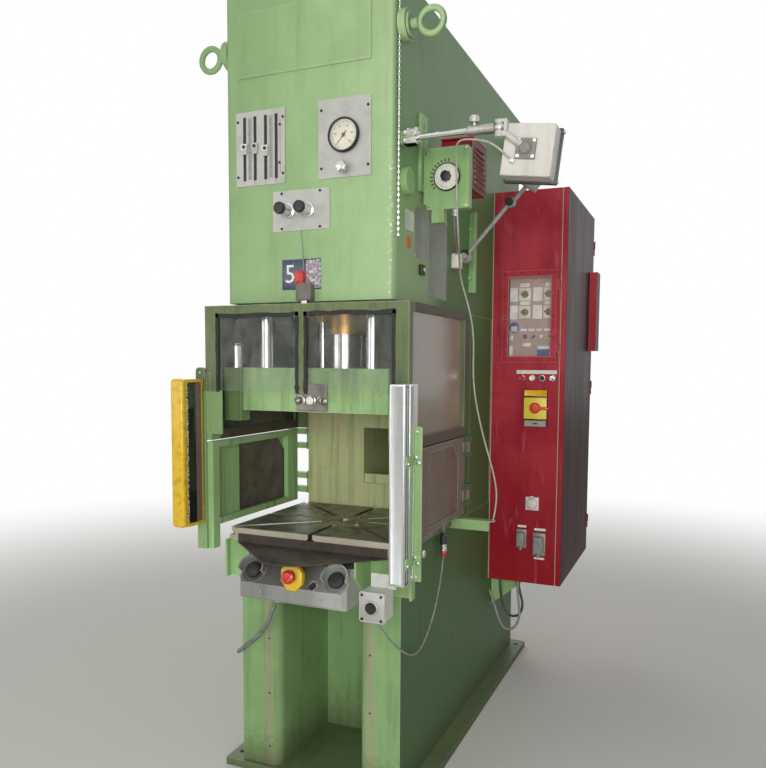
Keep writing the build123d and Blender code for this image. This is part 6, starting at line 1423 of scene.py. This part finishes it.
board = plate_of("operator_panel_sheet", (413.6, 631.4), (355.5, 357.8), (1642.6, 2033.4), front_face, 3,
                 0.4)
fit(board, moulded("pale_panel_lacquer", "#BFA79E", "#CDBBB2", 0.45))
labels = []
for x0, x1, z0, z1 in ((415, 453, 1917, 1983), (528, 572, 1917, 1983), (415, 453, 1831, 1897),
                       (528, 572, 1831, 1897), (464, 509, 1985, 2003), (585, 629, 1985, 2003),
                       (466, 513, 1899, 1916), (585, 629, 1899, 1916), (468, 500, 1773, 1784),
                       (509, 538, 1773, 1784), (547, 574, 1773, 1784), (583, 622, 1773, 1784),
                       (481, 521, 1698, 1715), (556, 624, 1686, 1700), (415, 431, 1646, 1702),
                       (421, 433, 1728, 1752)):
    labels.append(plate_of("panel_label", (x0, x1), (353.8, 355.6), (z0, z1), front_face, 1, 0.2))
fit(join("panel_labels", labels), moulded("white_label_film", "#FFFEF8", "#F6F3EA", 0.4))
cream_plastic = moulded("cream_switch_plastic", "#FFF8E2", "#F2E9CC", 0.4)
knob_grey = moulded("grey_switch_knob", "#7B776C", "#63604F", 0.4)
plates, knobs = [], []
for x0, x1, x in ((460, 516, 490), (580, 631, 606)):
    for z in (1950, 1864):
        plates.append(plate_of("selector_plate", (x0, x1), (350, 355.6), (z - 30, z + 30), front_face, 2.5,
                               -1.2, 1.2))
        body = turned("selector_knob", [(17, 0), (17, 3), (15, 9), (8, 10)], 32, (x, 349, z), FRONT)
        wing = slab("selector_wing", (x - 19, x + 21), (332, 342), (z - 4, z + 4))
        squeeze(wing, right_face, (1, 1, 0.35), (0, 0, z / 1000))
        knobs += [body, soften(wing, 1.5)]
fit(join("selector_plates", plates), cream_plastic, stands_for=["cabinet_fittings"])
fit(join("selector_knobs", knobs), knob_grey)
disc = turned("blue_disc", [(26, 0), (26, 1), (25, 1.6)], 48, (438, 355.6, 1790), FRONT)
field = plate_of("blue_label", (553, 617), (353.6, 355.6), (1650, 1683), front_face, 1, 0.2)
fit(join("blue_labels", [disc, field]), moulded("blue_label_film", "#2C5C9C", "#4D6E9E", 0.4))
tag = plate_of("disc_square", (423, 452), (353, 354.2), (1770, 1796), front_face, 1, 0.2)
fit(tag, white_plastic)
rings = []
for x in (492, 533, 572, 611):
    rings.append(turned("panel_lamp_ring", [(11, 0), (11, 3), (9.5, 4.4), (8, 4.4), (7.6, 2)], 28,
                        (x, 355.6, 1746), FRONT))
fit(join("panel_lamp_rings", rings), hard_chrome)
for name, x, material in (("dark", 492, black_plastic), ("grey", 533, knob_grey),
                          ("pale", 572, cream_plastic), ("red", 611, signal_red)):
    cap = turned(f"panel_lamp_{name}", [(7.8, 0), (7.8, 6), (6, 8), (2, 8.6)], 28, (x, 355.6, 1746), FRONT)
    fit(cap, material)

# Window of the cabinet: fourteen small screws hold its red frame, a worn bead runs
# round the pane, and two lift-off hinges of two knuckles each carry it.
screws = []
for columns, rows in (((402, 643), (1634, 1740, 1838, 1936, 2043)), ((480, 565), (1632, 2045))):
    for x in columns:
        for z in rows:
            screws.append(turned("window_screw", [(3.8, 0), (4.2, 0.6), (3.6, 2.2), (1.5, 2.6)], 16,
                                 (x, 298, z), FRONT))
fit(join("window_screws", screws), black_steel, "operator_window")
bead = slab("window_bead", (417, 629), (297.4, 299.4), (1646, 2031))
pick(bead, lambda c, n: abs(n.y) > 0.5)
bpy.ops.mesh.inset(thickness=0.005, depth=0.0)
bpy.ops.mesh.delete(type="FACE")
close()
soften(bead, 0)
fit(bead, moulded("pink_worn_bead", "#B0656B", "#8C3A42", 0.45), "operator_window")
pink_red = enamel("bright_hinge_red", "#B23848", "#A02C3C", "#5A141C", soiled=0.3, rough=0.35)
pins = []
for z in (1670, 1966):
    for lift in (-24, 2):
        pins.append(turned("window_knuckle", [(6, 0), (7.4, 1), (7.4, 22), (6, 23)], 24,
                           (664, 305, z + lift)))
    leaf = slab("window_hinge_leaf", (657, 668), (306, 312.5), (z - 23, z - 2))
    pins.append(soften(leaf, 1))
fit(join("window_hinge_knuckles", pins), pink_red)
hinges = []
for z in (700, 1480, 2270):
    hinges.append(turned("door_hinge_pin", [(4, -39), (6, -37), (6, 38), (4, 40)], 20, (695, 1155, z)))
fit(join("door_hinge_pins", hinges), pink_red)

# Row of push-buttons under a white label bar: red, white, black, and a key switch.
bar = plate_of("button_label_bar", (464, 659), (309.6, 312), (1565, 1583), front_face, 1.2, 0.3)
fit(bar, white_plastic)
bezels = []
for index in range(4):
    bezels.append(turned("button_bezel", [(15, 0), (15.6, 1), (15.2, 5), (13.4, 6.6), (12.6, 6.6),
                                          (12.4, 2)], 36, (491 + index * 49, 312, 1545), FRONT))
bezels.append(turned("key_switch", [(11.5, 0), (11.5, 6), (10.5, 8), (6, 8.4)], 32, (638, 311.5, 1545),
                     FRONT))
fit(join("button_bezels", bezels), hard_chrome)
slot_piece = plate_of("key_slot", (634, 643), (302.4, 303.6), (1543, 1547), front_face, 0.6, 0.3)
fit(slot_piece, black_plastic)
for colour, x, body, material, slot in (("red", 491, "stop_button", signal_red, "signal_red"),
                                        ("white", 540, "start_button", cream_plastic, "white_plastic"),
                                        ("black", 589, "set_button", black_plastic, "black_plastic")):
    cap = turned(f"push_cap_{colour}", [(12, 0), (12, 10), (10.8, 12), (7, 11.4)], 36, (x, 312, 1545),
                 FRONT)
    fit(cap, material, body, stands_for=[f"push_button_{colour}"])

# Main switch: yellow front with an orange-red lever handle, a yellow strip over it and
# a grey strip below, all on one dark housing.
housing = slab("main_switch_housing", (507, 619), (293, 312), (1312, 1487))
soften(housing, 4)
fit(housing, black_plastic)
strip = plate_of("main_switch_strip", (509, 617), (290.6, 294), (1459, 1487), front_face, 2, 0.5, 1)
fit(strip, moulded("orange_yellow_plastic", "#E8B400", "#D9A000", 0.35))
square = slab("main_switch_front", (508, 618), (286, 293.4), (1349, 1452))
press(square, front_face, (4, 1.8))
soften(square, 2)
fit(square, moulded("pale_yellow_plastic", "#EBD54C", "#E0C83C", 0.35))
low = plate_of("main_switch_foot", (511, 615), (290, 294), (1313, 1341), front_face, 2, 0.5)
fit(low, moulded("grey_switch_strip", "#A29E90", "#86826F", 0.5))
notch = plate_of("main_switch_notch", (553, 574), (289, 290.8), (1324, 1330), front_face, 0.6, 0.3)
fit(notch, black_plastic)
orange_red = moulded("orange_red_plastic", "#D9401C", "#C23414", 0.3, coat=0.3)
boss = turned("main_switch_boss", [(26, 0), (27, 2), (25, 8), (22, 10), (22, 20), (19, 24), (8, 25)], 48,
              (563, 285, 1402), FRONT)
lever = slab("main_switch_lever", (560, 632), (261, 281), (1393, 1411))
squeeze(lever, right_face, (1, 0.7, 0.55), (0.632, 0.271, 1.402))
soften(lever, 4, segments=3)
fit(join("main_switch_grip", [boss, lever]), orange_red, "main_switch",
    stands_for=["main_switch_handle"])

# Mains socket low on the cabinet's front: a square white base, a round domed cover,
# and a small tab at its top to lift the cover by.
base = slab("socket_base", (521, 587), (302, 312), (901, 967))
soften(base, 4, segments=3)
lid = turned("socket_lid", [(27, 0), (28, 1), (28, 6), (25, 10), (16, 13), (6, 14)], 48, (554, 302, 934),
             FRONT)
tab = soften(slab("socket_tab", (546, 562), (290, 302), (964, 973)), 2)
fit(join("socket_cover", [base, lid, tab]), moulded("white_socket_plastic", "#D8CFCB", "#C2B6B2", 0.4))

# Two industrial connectors: grey die-cast hoods with side levers on flange plates, and
# white label bars.
hoods = []
for x, z, w, h in ((505, 758, 50, 92), (592, 736, 62, 112)):
    flange = slab("connector_flange", (x - w / 2, x + w / 2), (301, 312), (z - h / 2, z + h / 2))
    hoods.append(soften(flange, 3))
    hood = slab("connector_hood", (x - w * 0.37, x + w * 0.37), (272, 301), (z - h * 0.37, z + h * 0.37))
    press(hood, front_face, (5, 4))
    hoods.append(soften(hood, 5, segments=3))
    hoods.append(turned("hood_gland", [(11, 0), (11, 6), (8, 8), (8, 18), (6, 20)], 6,
                        (x, 287, z - h * 0.37), DOWN))
    for side in (-1, 1):
        lever = slab("hood_lever", (x + side * w * 0.37 - 2, x + side * w * 0.37 + 2), (276, 304),
                     (z - h * 0.2, z + h * 0.3))
        squeeze(lever, front_face, (1, 1, 0.5), (0, 0, z / 1000))
        hoods.append(soften(lever, 1))
fit(join("connector_hoods", hoods), moulded("grey_die_cast_hood", "#8E8C88", "#6E6C66", 0.35))
bars = []
for x0, x1, z0, z1 in ((484, 527, 812, 823), (566, 622, 802, 814), (568, 618, 660, 670)):
    bars.append(plate_of("connector_label", (x0, x1), (310, 312), (z0, z1), front_face, 1, 0.2))
fit(join("connector_labels", bars), white_plastic)


# Plug of the button box's cable, clipped beside the base: dark coupling, bright steel
# middle and a red ring at its lower end.
plug_at = (360, -448, 834)
body = lathe("plug_shell", [(12, 48), (15, 50), (15.6, 54), (15.6, 84), (11, 90), (7, 96)], sides=36)
squeeze(body, lambda c, n: abs(n.z) < 0.2 and round(math.degrees(math.atan2(c.y, c.x)) / 10) % 2 == 0,
        (0.95, 0.95, 1), (0, 0, 0.069))
place_at(body, *plug_at)
fit(body, moulded("dark_green_plug", "#22392C", "#3A4A3E", 0.4))
middle = turned("plug_middle", [(11, 20), (14.4, 22), (14.4, 34), (12.6, 36), (12.6, 40), (14.4, 42),
                                (14.4, 49)], 36, plug_at)
fit(middle, hard_chrome, stands_for=["cable_plug"])
ring = turned("plug_red_ring", [(6, 0), (11, 1), (12.4, 5), (12.4, 18), (11, 20.5)], 36, plug_at)
fit(ring, signal_red)
